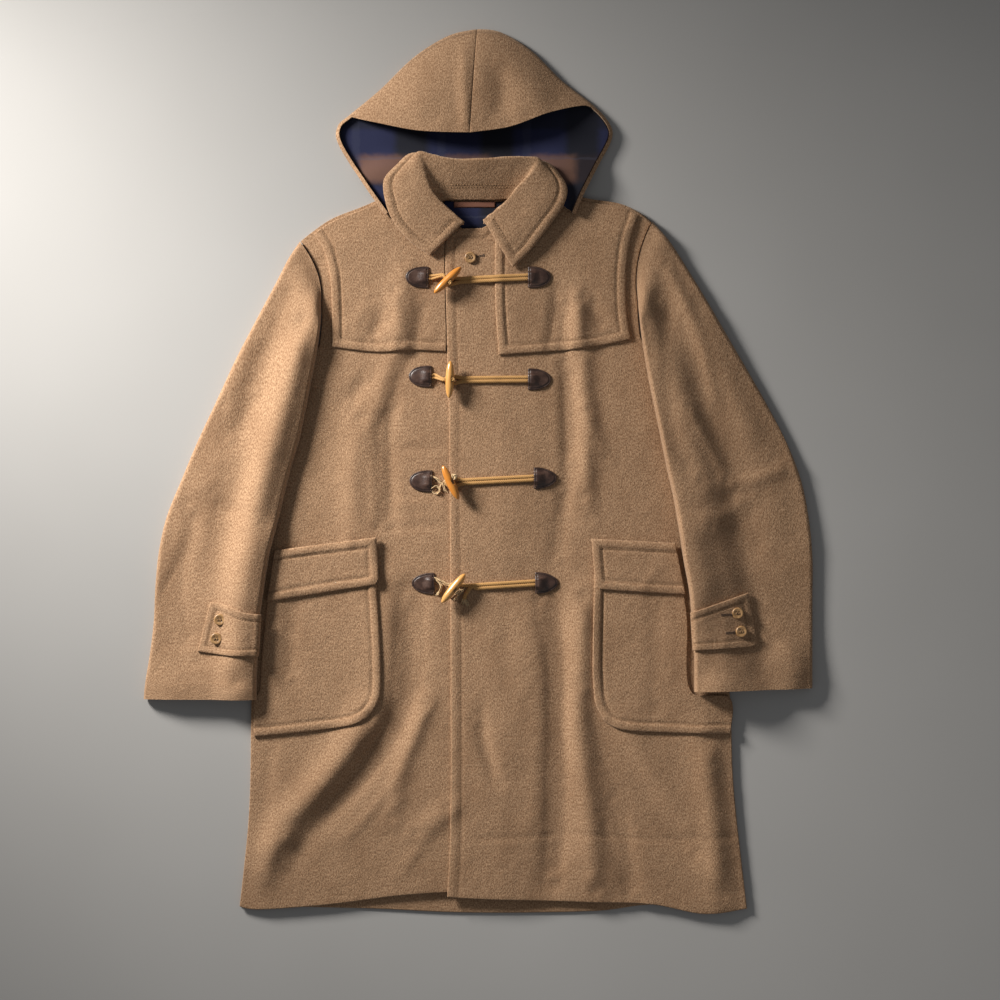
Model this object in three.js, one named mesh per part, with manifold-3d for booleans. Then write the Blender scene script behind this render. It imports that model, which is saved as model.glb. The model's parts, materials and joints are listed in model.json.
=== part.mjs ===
// A wool duffle coat laid out flat, face up, with its hood spread above the collar.
// Millimetres, +Z up. The hood points to +Y, the coat's own left side is at +X, and z = 0 is the surface
// that it lies on. Every piece is a wall of cloth. Pieces that lie on each other share one lattice of
// points, moved out by their thickness.
import * as THREE from "three";
import { mergeVertices } from "three/addons/utils/BufferGeometryUtils.js";
import Module from "manifold-3d";

const wasm = await Module();
wasm.setup();

// Driving dimensions: cloth, air and gaps
const CLOTH = 3; // thick wool melton, one layer
const LINING = 1; // woven lining
const SLEEVE_WALL = 4; // melton with the sleeve's own lining
const SLEEVE_AIR = 3.4; // between the two walls of a flattened sleeve
const COLLAR_WALL = 4; // two layers of melton, pressed
const PATCH = 2.2; // leather
const GAP = 0.3; // at seams and between layers
const LAYER = CLOTH + GAP; // one more cloth on top
const BODY_AIR = 2.4; // between the back and a front that lies easily
const CORD = 5.2; // braided loop cord
const TOGGLE_CORD = 4.4;
const TOGGLE_LENGTH = 51;
const TOGGLE_RADIUS = 5.8;
const BUTTON_RADIUS = 8;
const BUTTON_THICK = 3.2;
const HOOD_RISE = 26; // air under the hood's upper layer at its mouth
const ARMHOLE_GAP = 1; // between the armhole's edge and the sleeve
const CUFF_GAPE = 5; // how much further a cuff stands open
const UNDERLAP = 28; // x of the hidden front edge, under the other front
const HEAD_BOW = 9; // how far the head of each sleeve bows into the armhole
const EASE_WIDTH = 45; // a front sinks to its side seam over this width
const COLLAR_BULGE = 2; // how far the collar's fall curves up between its roll and its edge
const PATCH_WIDTH = 32; // leather patches
const PATCH_HEIGHT = 30;
const TAB_GAP = 0.4; // under a cuff tab
const CORD_GAP = 0.5; // under and round a cord
const STRAND = CORD / 2 + 0.3; // each strand of a loop beside its middle line
const LOOP_SPREAD = 5.4; // the same where the loop opens round the toggle's cord
const BODY_CELL = { x: 32, y: 40 }; // lattice of the body panels
const HOOD_CELL = { x: 28, y: 26 }; // lattice of the hood
const OUTLINE_STEP = 36; // between the points of a smooth outline

// Outlines: runs of [x, y]. A run of two is straight, a longer one is a smooth curve, and runs meet at
// corners.
const SHOULDER_RIGHT = [[-244, 316], [-228, 329], [-200, 348], [-155, 366], [-106, 388]];
const SHOULDER_LEFT = [[106, 390], [146, 376], [193, 368], [220, 356], [238, 342]];
const SIDE_RIGHT = [
  [-219, 172], [-252, 118], [-291, -60], [-309, -200], [-313, -330], [-316, -470], [-329, -600],
];
const SIDE_LEFT = [[223, 184], [258, 112], [303, -60], [336, -200], [347, -320], [352, -440], [370, -603]];
const HEM_RIGHT = [[-329, -600], [-302, -604], [-206, -597], [-111, -585], [-44, -580]];
const HEM_LEFT = [[-43, -586], [3, -589], [157, -594], [240, -597], [310, -610], [370, -603]];
const HEM_BACK = [[-329, -600], [-159, -603], [-16, -609], [157, -607], [240, -598], [370, -603]];
const FRONT_EDGE = [[-43, 324], [-46, 300], [-43, 167], [-40, 29], [-38, -344], [-39, -500], [-43, -586]];
const NECK_RIGHT = [[-106, 388], [-80, 370], [-58, 357], [-36, 343], [-23, 334]];
const NECK_LEFT = [[5, 334], [22, 343], [48, 360], [78, 376], [106, 390]];
const NECK_BACK = [[-106, 388], [-60, 378], [0, 374], [60, 378], [106, 390]];

const YOKE_RIGHT = [
  [[-227, 326], [-214, 306], [-205, 273], [-202, 236], [-201, 170]],
  [[-201, 170], [-136, 163], [-92, 166], [-49, 164]],
  [[-49, 164], [-49, 330]],
  [[-49, 330], [-49, 346], [-78, 366], [-108, 384], [-155, 362], [-200, 344], [-227, 326]],
];
const YOKE_LEFT = [
  [[23, 338], [23, 236], [28, 159]],
  [[28, 159], [140, 168], [210, 181]],
  [[210, 181], [204, 219], [203, 266], [208, 313], [220, 352]],
  [[220, 352], [193, 364], [146, 371], [110, 384], [80, 372], [50, 356], [23, 338]],
];
const POCKET_RIGHT = [
  [[-283, -116], [-145, -100]],
  [[-145, -100], [-140, -160]],
  [
    [-140, -160], [-135, -235], [-134, -295], [-139, -320], [-152, -338], [-175, -349], [-224, -357],
    [-309, -366],
  ],
  [[-309, -366], [-309, -316]],
  [[-309, -316], [-299, -314]],
  [[-299, -314], [-297, -240], [-283, -116]],
];
const POCKET_LEFT = [
  [[160, -102], [272, -106]],
  [[272, -106], [287, -200], [291, -305]],
  [[291, -305], [346, -309]],
  [[346, -309], [347, -362]],
  [[347, -362], [260, -360], [199, -356], [174, -345], [162, -323], [158, -295], [157, -250], [160, -102]],
];
const FLAP_RIGHT = [
  [[-280, -109], [-140, -91]],
  [[-140, -91], [-137, -142]],
  [[-137, -142], [-139, -151], [-146, -157], [-204, -166], [-291, -180]],
  [[-291, -180], [-280, -109]],
];
const FLAP_LEFT = [
  [[155, -93], [271, -99]],
  [[271, -99], [285, -170]],
  [[285, -170], [172, -163], [163, -160], [160, -150]],
  [[160, -150], [155, -93]],
];
const TAB_RIGHT = [
  [[-368, -180], [-349, -182], [-322, -192], [-303, -196]],
  [[-303, -196], [-309, -254]],
  [[-309, -254], [-343, -253], [-386, -248]],
  [[-386, -248], [-368, -180]],
];
const TAB_LEFT = [
  [[300, -193], [370, -167]],
  [[370, -167], [382, -229]],
  [[382, -229], [381, -238], [372, -241], [304, -246]],
  [[304, -246], [300, -193]],
];

// The hood's fold, from its right-hand lower corner over the point to its left-hand one, its edges at the
// neck, its mouth and its centre seam.
const HOOD_FOLD = [
  [-128, 351], [-159, 395], [-193, 450], [-194, 475], [-177, 491], [-136, 525], [-88, 571], [-41, 600],
  [-2, 609.2], [30, 605], [72, 580], [115, 538], [157, 505], [180, 480], [184, 458], [165, 420], [144, 378],
  [133, 352],
];
const HOOD_NECK_LEFT = [[133, 352], [114, 368], [108, 400]];
const HOOD_NECK_BACK = [[108, 400], [60, 398], [0, 396], [-60, 398], [-108, 400]];
const HOOD_NECK_RIGHT = [[-108, 400], [-114, 368], [-128, 351]];
const HOOD_MOUTH = [
  [-215, 493], [-177, 488], [-147, 479], [-82, 465], [-12, 462], [45, 471], [99, 491], [146, 503],
  [164, 501], [215, 490],
];
const HOOD_SEAM = [[-1, 640], [-2, 609], [-8, 526], [-12, 466], [-10, 350]];

// Folds of the fronts: a ridge (up) or a trough (down) from one place to another, with its half width.
const BODY_FOLDS = table("x0 y0 x1 y1 width height", [
  [-160, -350, -250, -470, 26, 6.5],
  [-250, -470, -316, -560, 26, 6],
  [-112, -150, -100, -290, 20, -3],
  [-100, -290, -150, -390, 26, -4],
  [-150, -390, -258, -530, 24, -4],
  [-80, -350, -122, -430, 16, 3],
  [-84, -492, -45, -462, 16, 2.5],
  [-290, -400, -305, -480, 12, -2],
  [-158, 60, -172, -70, 22, 3.5],
  [-132, 60, -128, -60, 16, -2.5],
  [-128, 210, -146, 185, 14, -2.5],
  [-108, 240, -112, 190, 18, 3],
  [108, -180, 108, -460, 22, -4],
  [110, -460, 100, -560, 20, -3],
  [140, -160, 138, -350, 18, 4],
  [138, -350, 160, -560, 24, 4.5],
  [150, -300, 190, -430, 16, -2.5],
  [190, -430, 290, -520, 22, -3],
  [190, -470, 215, -570, 16, -3],
  [318, -380, 330, -560, 26, 5],
  [0, -345, 25, -425, 13, -2.5],
  [118, 225, 106, 190, 14, -3],
  [133, 225, 136, 180, 12, 3],
  [152, 300, 168, 220, 15, -2.5],
  [125, 150, 120, 60, 14, -3],
  [143, 160, 148, -30, 16, 3],
  [118, -45, 112, -120, 14, -2.5],
]);
// Folds of the hood's upper layer, beside its centre seam.
const HOOD_FOLDS = table("x0 y0 x1 y1 width height", [
  [-18, 590, -18, 470, 12, 4],
  [28, 540, 34, 475, 16, -4],
  [-110, 530, -60, 480, 24, 3],
  [90, 540, 70, 490, 22, 3],
]);

// Each sleeve from the armhole to the cuff: the edge away from the body and the edge beside it, and the fold
// heights at the quarter, middle and three-quarter of the way from the outer edge to the inner one.
const SLEEVE_RIGHT = table("outerX outerY innerX innerY outer middle inner", [
  [-246, 316, -216.5, 232, 0, 0, 0],
  [-262, 291, -216.5, 205, 0, 0, 2],
  [-281, 255, -220, 172, -1, 1, 3],
  [-306, 208, -227, 134, -1.5, 0, 4],
  [-334, 154, -236, 88, -1.5, 0, 4.5],
  [-360, 98, -246, 42, 0, 1, 5],
  [-387, 40, -257, 4, 1, 1, 5],
  [-408, -10, -266, -32, 2, 0, 5],
  [-429, -62, -277, -78, 1, -1.5, 5],
  [-440, -110, -286, -114, 1, -1, 4.5],
  [-445, -160, -293, -158, -1, 1, 4],
  [-447, -205, -299, -200, -1.5, 2, 3.5],
  [-452, -248, -302, -246, -0.5, 1, 3],
  [-459, -292, -304, -290, 1, 2, 2.5],
  [-461, -314, -304, -314, 1.5, 2, 2.5],
]);
const SLEEVE_LEFT = table("outerX outerY innerX innerY outer middle inner", [
  [240, 343, 219.5, 238, 0, 0, 0],
  [264, 315, 221, 212, 0, 0, 2],
  [290, 275, 224, 184, 2, -1, 3],
  [318, 229, 232, 134, 2.5, 0, 3.5],
  [344, 184, 241, 90, 3, 1, 3.5],
  [372, 136, 250, 46, 3, 2, 3.5],
  [398, 90, 259, 2, 3, 2, 3.5],
  [424, 40, 268, -38, 2.5, 0, 3.5],
  [444, -12, 275, -82, 2, -1.5, 3.5],
  [455, -66, 281, -122, 2.5, -1.5, 3.5],
  [460, -120, 288, -160, 2, 0, 3.5],
  [460, -172, 292, -196, 2, 0, 3],
  [460, -224, 295, -232, 2, 0.5, 3],
  [460, -266, 296, -270, 3, 1, 2.5],
  [460, -299, 296, -303, 4, 1.5, 2.5],
]);

// The collar, station by station round the neck from its right front end to its left one: where its wall
// starts at the neck seam, where it rolls over, and its outer edge, all in the middle of the wall.
const COLLAR = table("neckX neckY neckZ rollX rollY rollZ edgeX edgeY edgeZ", [
  [-20, 338, 16.5, -21, 339, 21, -66, 295, 16.5],
  [-26, 343, 16, -33, 348, 23, -97, 318, 18],
  [-40, 354, 14.5, -52, 365, 25, -119, 346, 21],
  [-50, 362, 13.5, -66, 382, 27, -129, 376, 22],
  [-52, 367, 12.5, -74, 401, 28, -129, 400, 21],
  [-50, 370, 11, -78, 419, 29, -113, 418, 19],
  [-46, 372, 10, -78, 432, 30, -92, 433, 17],
  [-38, 373, 8.4, -62, 430, 31, -64, 416, 13.5],
  [-22, 373, 8, -38, 425, 32, -38, 407, 12.5],
  [0, 373, 8, 0, 424, 32, 0, 405, 12.5],
  [22, 373, 8, 40, 427, 32, 40, 409, 12.5],
  [36, 374, 8.4, 64, 427, 31, 66, 414, 13.5],
  [44, 373, 10, 79, 424, 30, 95, 420, 17],
  [48, 371, 12, 76, 411, 29, 114, 403, 19],
  [48, 368, 14, 67, 399, 28, 122, 386, 21],
  [45, 364, 15.5, 56, 387, 27, 117, 364, 22],
  [38, 358, 17, 46, 374, 26, 100, 339, 22],
  [30, 352, 17.5, 36, 363, 25, 83, 317, 21],
  [20, 346, 18, 24, 353, 24, 66, 296, 20],
  [7, 339, 18.5, 8, 341, 23, 47, 279, 19],
]);

// Fastenings from the neck down: the middle of each leather patch on the right and the left front, and the
// middle and the direction of the toggle, in degrees.
const FASTENINGS = table("rightX rightY leftX leftY toggleX toggleY angle", [
  [-84, 266, 84, 266, -42, 261, 44],
  [-80, 130, 84, 126, -39, 125, 88],
  [-79, -14, 92, -10, -38, -16, 115],
  [-76, -155, 94, -154, -34, -161, 51],
]);
// Small helpers
function table(columns, rows) {
  const names = columns.split(" ");
  return rows.map((row) => Object.fromEntries(names.map((name, i) => [name, row[i]])));
}

const clamp = (value, low, high) => Math.min(high, Math.max(low, value));
const smoothstep = (value, low, high) => {
  const t = clamp((value - low) / (high - low), 0, 1);
  return t * t * (3 - 2 * t);
};

// The points of one run, evenly spaced along a smooth curve; a run of two points stays as it is.
function curve(run, step = OUTLINE_STEP) {
  if (run.length < 3) return run;
  const spline = new THREE.SplineCurve(run.map(([x, y]) => new THREE.Vector2(x, y)));
  const count = Math.max(run.length - 1, Math.ceil(spline.getLength() / step));
  return spline.getSpacedPoints(count).map((p) => [p.x, p.y]);
}

// A closed outline from runs that meet end to end.
function outline(runs, step = OUTLINE_STEP) {
  return runs.flatMap((run) => curve(run, step).slice(0, -1));
}

const reversed = (run) => [...run].reverse();

function distanceToSegment(x, y, x0, y0, x1, y1) {
  const dx = x1 - x0;
  const dy = y1 - y0;
  const t = clamp(((x - x0) * dx + (y - y0) * dy) / (dx * dx + dy * dy), 0, 1);
  return Math.hypot(x - x0 - t * dx, y - y0 - t * dy);
}

function distanceToRun(x, y, run) {
  let least = Infinity;
  for (let i = 1; i < run.length; i++)
    least = Math.min(least, distanceToSegment(x, y, ...run[i - 1], ...run[i]));
  return least;
}

// The height that a list of folds gives at a place: each is a soft bell across its line.
function foldHeight(folds, x, y) {
  return folds.reduce((sum, fold) => {
    const away = distanceToSegment(x, y, fold.x0, fold.y0, fold.x1, fold.y1) / fold.width;
    return sum + fold.height * Math.exp(-away * away);
  }, 0);
}

// Whether a place lies inside a closed outline.
function inside(points, x, y) {
  let odd = false;
  points.forEach(([x1, y1], i) => {
    const [x0, y0] = points[(i + points.length - 1) % points.length];
    if (y0 > y !== y1 > y && x < x0 + ((y - y0) / (y1 - y0)) * (x1 - x0)) odd = !odd;
  });
  return odd;
}

// An outline moved inwards by a distance, each point along its own normal. It runs clockwise seen from
// above.
function inset(points, distance) {
  return points.map(([x, y], i) => {
    const [ax, ay] = points[(i + points.length - 1) % points.length];
    const [bx, by] = points[(i + 1) % points.length];
    const length = Math.hypot(bx - ax, by - ay);
    return [x + ((by - ay) / length) * distance, y - ((bx - ax) / length) * distance];
  });
}

// Solids
function solidFrom(vertices, triangles) {
  return new wasm.Manifold(
    new wasm.Mesh({
      numProp: 3,
      vertProperties: new Float32Array(vertices.flat()),
      triVerts: new Uint32Array(triangles.flat()),
    }),
  );
}

function solidOf(geometry) {
  const bare = geometry.clone();
  bare.deleteAttribute("normal");
  bare.deleteAttribute("uv");
  const merged = mergeVertices(bare, 1e-3);
  return new wasm.Manifold(
    new wasm.Mesh({
      numProp: 3,
      vertProperties: merged.attributes.position.array,
      triVerts: new Uint32Array(merged.index.array),
    }),
  );
}

function geometryOf(solid) {
  const mesh = solid.getMesh();
  const geometry = new THREE.BufferGeometry();
  geometry.setAttribute("position", new THREE.BufferAttribute(mesh.vertProperties, 3));
  geometry.setIndex(new THREE.BufferAttribute(mesh.triVerts, 1));
  geometry.computeVertexNormals();
  return geometry;
}

// An upright prism over an outline, from one height to another.
function prism(points, low = -20, high = 120) {
  const shape = new THREE.Shape(points.map(([x, y]) => new THREE.Vector2(x, y)));
  const geometry = new THREE.ExtrudeGeometry(shape, { depth: high - low, bevelEnabled: false });
  return geometry.translate(0, 0, low);
}

// A closed wall between two grids of points with the same layout; round says that each row closes on itself.
// The upper grid is seen from outside with its rows running up the page and its columns running right.
function wallBetween(upper, lower, round) {
  const rows = upper.length;
  const columns = upper[0].length;
  const at = (layer, row, column) => layer * rows * columns + row * columns + (column % columns);
  const faces = [];
  const quad = (a, b, c, d) => faces.push([a, b, c], [a, c, d]);
  const last = round ? columns : columns - 1;
  for (let r = 0; r < rows - 1; r++)
    for (let c = 0; c < last; c++) {
      quad(at(0, r, c), at(0, r, c + 1), at(0, r + 1, c + 1), at(0, r + 1, c));
      quad(at(1, r, c), at(1, r + 1, c), at(1, r + 1, c + 1), at(1, r, c + 1));
    }
  for (let c = 0; c < last; c++) {
    quad(at(1, 0, c), at(1, 0, c + 1), at(0, 0, c + 1), at(0, 0, c));
    quad(at(0, rows - 1, c), at(0, rows - 1, c + 1), at(1, rows - 1, c + 1), at(1, rows - 1, c));
  }
  if (!round)
    for (let r = 0; r < rows - 1; r++) {
      const end = columns - 1;
      quad(at(0, r, 0), at(0, r + 1, 0), at(1, r + 1, 0), at(1, r, 0));
      quad(at(1, r, end), at(1, r + 1, end), at(0, r + 1, end), at(0, r, end));
    }
  return solidFrom([...upper.flat(), ...lower.flat()], faces);
}

// A slab over an outline between two height functions, which are read only at the lattice's points.
function slab(points, lower, upper, cell = BODY_CELL) {
  const xs = points.map((p) => p[0]);
  const ys = points.map((p) => p[1]);
  const firstX = Math.floor(Math.min(...xs) / cell.x);
  const lastX = Math.ceil(Math.max(...xs) / cell.x);
  const firstY = Math.floor(Math.min(...ys) / cell.y);
  const lastY = Math.ceil(Math.max(...ys) / cell.y);
  const grid = (height) => {
    const rows = [];
    for (let j = firstY; j <= lastY; j++) {
      const row = [];
      for (let i = firstX; i <= lastX; i++) {
        const x = i * cell.x;
        const y = j * cell.y;
        row.push([x, y, height(x, y)]);
      }
      rows.push(row);
    }
    return rows;
  };
  return wallBetween(grid(upper), grid(lower), false).intersect(solidOf(prism(points)));
}

// The height of a lattice surface at any place, on the same triangles as slab makes.
function onLattice(height, x, y, cell = BODY_CELL) {
  const i = Math.floor(x / cell.x);
  const j = Math.floor(y / cell.y);
  const u = x / cell.x - i;
  const v = y / cell.y - j;
  const z = (a, b) => height((i + a) * cell.x, (j + b) * cell.y);
  return u > v
    ? z(0, 0) + u * (z(1, 0) - z(0, 0)) + v * (z(1, 1) - z(1, 0))
    : z(0, 0) + v * (z(0, 1) - z(0, 0)) + u * (z(1, 1) - z(0, 1));
}

// The sleeve's head, from its outer edge to the armpit side: a straight line that bows towards the body.
const headBow = (share) => HEAD_BOW * 4 * share * (1 - share);
function armhole(rows) {
  const [first, ...later] = rows;
  const side = Math.sign(first.innerX - first.outerX);
  const shares = [0, 0.2, 0.4, 0.6, 0.8, 1];
  const head = shares.map((share) => [
    first.outerX + share * (first.innerX - first.outerX) + side * (headBow(share) + ARMHOLE_GAP),
    first.outerY + share * (first.innerY - first.outerY),
  ]);
  const below = later.slice(0, 2).map((row) => [row.innerX + side * ARMHOLE_GAP, row.innerY]);
  return [...head, ...below];
}
const ARMHOLE_RIGHT = armhole(SLEEVE_RIGHT);
const ARMHOLE_LEFT = armhole(SLEEVE_LEFT);

// The body panels' heights
const BACK_OUTLINE = outline([
  SHOULDER_RIGHT,
  NECK_BACK,
  SHOULDER_LEFT,
  ARMHOLE_LEFT,
  SIDE_LEFT,
  reversed(HEM_BACK),
  reversed(SIDE_RIGHT),
  reversed(ARMHOLE_RIGHT),
]);
const FRONT_RIGHT_OUTLINE = outline([
  SHOULDER_RIGHT,
  NECK_RIGHT,
  [[-23, 334], [UNDERLAP, 328]],
  [[UNDERLAP, 328], [UNDERLAP, -582]],
  [[UNDERLAP, -582], [-44, -580]],
  reversed(HEM_RIGHT),
  reversed(SIDE_RIGHT),
  reversed(ARMHOLE_RIGHT),
]);
const FRONT_LEFT_OUTLINE = outline([
  reversed(FRONT_EDGE),
  [[-43, 324], [-41, 333]],
  [[-41, 333], [5, 334]],
  NECK_LEFT,
  SHOULDER_LEFT,
  ARMHOLE_LEFT,
  SIDE_LEFT,
  reversed(HEM_LEFT),
]);
const BODY_SIDES = [SHOULDER_RIGHT, SHOULDER_LEFT, ARMHOLE_RIGHT, ARMHOLE_LEFT, SIDE_RIGHT, SIDE_LEFT];

// Air under the fronts, more on a ridge and less in a trough, and none at the seams.
function airUnder(x, y) {
  const edge = Math.min(...BODY_SIDES.map((run) => distanceToRun(x, y, run)));
  return Math.max(0, BODY_AIR + foldHeight(BODY_FOLDS, x, y)) * smoothstep(edge, 0, EASE_WIDTH);
}
// How far the left front is lifted by the right one under it, and down again two cells beyond it.
const lap = (x) => LAYER * clamp((3 * BODY_CELL.x - x) / (2 * BODY_CELL.x), 0, 1);

const frontRightLow = (x, y) => LAYER + airUnder(x, y);
const frontLeftLow = (x, y) => LAYER + airUnder(x, y) + lap(x);
const above = (height, rise) => (x, y) => height(x, y) + rise;
const frontRightTop = above(frontRightLow, CLOTH);
const frontLeftTop = above(frontLeftLow, CLOTH);

const bodyPanels = [
  { name: "front_right", outline: FRONT_RIGHT_OUTLINE, low: frontRightLow },
  { name: "front_left", outline: FRONT_LEFT_OUTLINE, low: frontLeftLow },
  { name: "yoke_right", outline: outline(YOKE_RIGHT), low: above(frontRightTop, GAP) },
  { name: "yoke_left", outline: outline(YOKE_LEFT), low: above(frontLeftTop, GAP) },
  { name: "pocket_right", outline: outline(POCKET_RIGHT), low: above(frontRightTop, GAP) },
  { name: "pocket_left", outline: outline(POCKET_LEFT), low: above(frontLeftTop, GAP) },
  { name: "flap_right", outline: outline(FLAP_RIGHT), low: above(frontRightTop, LAYER + GAP) },
  { name: "flap_left", outline: outline(FLAP_LEFT), low: above(frontLeftTop, LAYER + GAP) },
];

// The top of the body at a place, over every panel that covers it.
function bodyTop(x, y) {
  const backTop = inside(BACK_OUTLINE, x, y) ? CLOTH : 0;
  return bodyPanels.reduce(
    (top, panel) =>
      inside(panel.outline, x, y) ? Math.max(top, onLattice(panel.low, x, y) + CLOTH) : top,
    backTop,
  );
}

// The lowest height that clears the body within reach, sinking beyond it at the given slope.
const PROBE_STEP = 8;
function supportOver(x, y, reach, slope = 0.3, range = 60) {
  let height = 0;
  for (let dx = -range; dx <= range; dx += PROBE_STEP)
    for (let dy = -range; dy <= range; dy += PROBE_STEP) {
      const drop = slope * Math.max(0, Math.hypot(dx, dy) - reach);
      if (drop < 20) height = Math.max(height, bodyTop(x + dx, y + dy) - drop);
    }
  return height;
}

// Materials
const material = (color, roughness, metalness = 0) =>
  new THREE.MeshStandardMaterial({ color, roughness, metalness, side: THREE.FrontSide });
const CAMEL = material(0xa5825c, 0.95);
const CHECK = material(0x23263a, 0.8);
const STRIP = material(0x7c4f3a, 0.85);
const LEATHER = material(0x2e1d18, 0.38);
const BRAID = material(0xb98a48, 0.8);
const HORN = material(0xc27a2c, 0.25);
const BUTTON = material(0x8e6a45, 0.4);

const coat = new THREE.Group();
coat.name = "duffle_coat";

function addPiece(name, geometry, finish, parent = coat) {
  const mesh = new THREE.Mesh(geometry, finish);
  mesh.name = name;
  parent.add(mesh);
  return mesh;
}

// Body, yokes, pockets and flaps
addPiece("back", prism(BACK_OUTLINE, 0, CLOTH), CAMEL);
for (const panel of bodyPanels) {
  const wall = slab(panel.outline, panel.low, above(panel.low, CLOTH));
  addPiece(panel.name, geometryOf(wall), CAMEL);
}

// Neck lining and hanger strip, on the back inside the neck
const NECK_LINING = [
  [[-46, 372.5], [-20, 370.5], [20, 370.5], [42, 372.5]],
  [[42, 372.5], [52, 345], [40, 316]],
  [[40, 316], [-46, 316]],
  [[-46, 316], [-56, 345], [-46, 372.5]],
];
addPiece("neck_lining", prism(outline(NECK_LINING, 15), LAYER, LAYER + LINING), CHECK);
const STRIP_LOW = LAYER + LINING + GAP;
const NECK_STRIP = [[-34, 371], [23, 371], [23, 363], [-34, 363]];
addPiece("neck_strip", prism(NECK_STRIP, STRIP_LOW, STRIP_LOW + LINING), STRIP);

// Sleeves: a flattened tube, open at the armhole and at the cuff
const SLEEVE_STATIONS = 20;
const FLAT_POINTS = 7; // across each of the two layers
const FOLD_POINTS = 2; // round each folded edge, between the layers
const SLEEVE_HALF = SLEEVE_WALL + SLEEVE_AIR / 2; // radius of a folded edge

// One column of a table as a smooth function of the way along, from 0 to 1.
function smoothColumn(rows, column) {
  const spline = new THREE.SplineCurve(rows.map((row, i) => new THREE.Vector2(i, row[column])));
  return (t) => spline.getPoint(t).y;
}

// The height of a sleeve's folds across it: the table's three heights, sinking to nothing at both edges.
function acrossSleeve(u, outer, middle, inner) {
  const bell = (at) => Math.exp(-(((u - at) / 0.17) ** 2));
  return outer * bell(0.24) + middle * bell(0.5) + inner * bell(0.78);
}

function sleeveGrids(rows) {
  const columns = Object.fromEntries(Object.keys(rows[0]).map((name) => [name, smoothColumn(rows, name)]));
  const outerGrid = [];
  const innerGrid = [];
  for (let s = 0; s <= SLEEVE_STATIONS; s++) {
    const t = s / SLEEVE_STATIONS;
    const outerX = columns.outerX(t);
    const outerY = columns.outerY(t);
    const acrossX = columns.innerX(t) - outerX;
    const acrossY = columns.innerY(t) - outerY;
    const width = Math.hypot(acrossX, acrossY);
    const free = smoothstep(t, 0, 0.1); // the armhole end lies beside the body, not on it
    const bow = Math.sign(acrossX) * (1 - smoothstep(t, 0, 0.2));
    const gape = CUFF_GAPE * smoothstep(t, 0.8, 0.95);
    const folds = [columns.outer(t), columns.middle(t), columns.inner(t)];
    const seat = (along) => {
      const share = clamp(along, SLEEVE_HALF, width - SLEEVE_HALF) / width;
      return free * supportOver(outerX + share * acrossX, outerY + share * acrossY, 24);
    };
    const ring = (inwards) => {
      const radius = SLEEVE_HALF - inwards;
      const place = (along, z) => [
        outerX + (along / width) * acrossX + bow * headBow(along / width),
        outerY + (along / width) * acrossY,
        seat(along) + (along > SLEEVE_HALF && free > 0 ? GAP * free : 0) + z,
      ];
      const span = width - 2 * SLEEVE_HALF;
      const points = [];
      for (let i = 0; i <= FLAT_POINTS; i++) {
        const u = i / FLAT_POINTS;
        points.push(place(SLEEVE_HALF + u * span, inwards));
      }
      for (let i = 1; i <= FOLD_POINTS; i++) {
        const angle = -Math.PI / 2 + (Math.PI * i) / (FOLD_POINTS + 1);
        points.push(
          place(width - SLEEVE_HALF + radius * Math.cos(angle), SLEEVE_HALF + radius * Math.sin(angle)),
        );
      }
      for (let i = FLAT_POINTS; i >= 0; i--) {
        const u = i / FLAT_POINTS;
        const opening = gape * (1 - (2 * u - 1) ** 4);
        const rise = Math.max(-SLEEVE_AIR + 0.8, acrossSleeve(u, ...folds)) + opening;
        points.push(place(SLEEVE_HALF + u * span, 2 * SLEEVE_HALF - inwards + rise));
      }
      for (let i = 1; i <= FOLD_POINTS; i++) {
        const angle = Math.PI / 2 + (Math.PI * i) / (FOLD_POINTS + 1);
        points.push(place(SLEEVE_HALF + radius * Math.cos(angle), SLEEVE_HALF + radius * Math.sin(angle)));
      }
      return points;
    };
    outerGrid.push(ring(0));
    innerGrid.push(ring(SLEEVE_WALL));
  }
  return { outerGrid, innerGrid };
}

// A solid turned right side out, whichever way its grid runs.
function facingOut(make, upper, lower, round) {
  const solid = make(upper, lower, round);
  return solid.volume() > 0 ? solid : make(lower, upper, round);
}

const sleeves = {
  right: sleeveGrids(SLEEVE_RIGHT),
  left: sleeveGrids(SLEEVE_LEFT),
};
for (const [side, { outerGrid, innerGrid }] of Object.entries(sleeves))
  addPiece("sleeve_" + side, geometryOf(facingOut(wallBetween, outerGrid, innerGrid, true)), CAMEL);

// Cuff tabs: the sleeve's top points moved up, cut to the tab's outline
const TOP_FIRST = FLAT_POINTS + 1 + FOLD_POINTS;
function sleeveTop(grid, rise) {
  return grid.map((ring) => {
    const top = ring.slice(TOP_FIRST, TOP_FIRST + FLAT_POINTS + 1);
    return top.map(([x, y, z]) => [x, y, z + rise]);
  });
}
function cuffTab(grid, points) {
  const sheet = facingOut(wallBetween, sleeveTop(grid, TAB_GAP + CLOTH), sleeveTop(grid, TAB_GAP), false);
  return sheet.intersect(solidOf(prism(points)));
}
const tabs = {
  right: cuffTab(sleeves.right.outerGrid, outline(TAB_RIGHT)),
  left: cuffTab(sleeves.left.outerGrid, outline(TAB_LEFT)),
};
for (const [side, tab] of Object.entries(tabs)) addPiece("cuff_tab_" + side, geometryOf(tab), CAMEL);

// The highest point of a solid over a round spot
function topOver(solid, x, y, radius) {
  const spot = new THREE.CylinderGeometry(radius, radius, 200, 16).rotateX(Math.PI / 2).translate(x, y, 0);
  return solid.intersect(solidOf(spot)).boundingBox().max[2];
}

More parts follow.
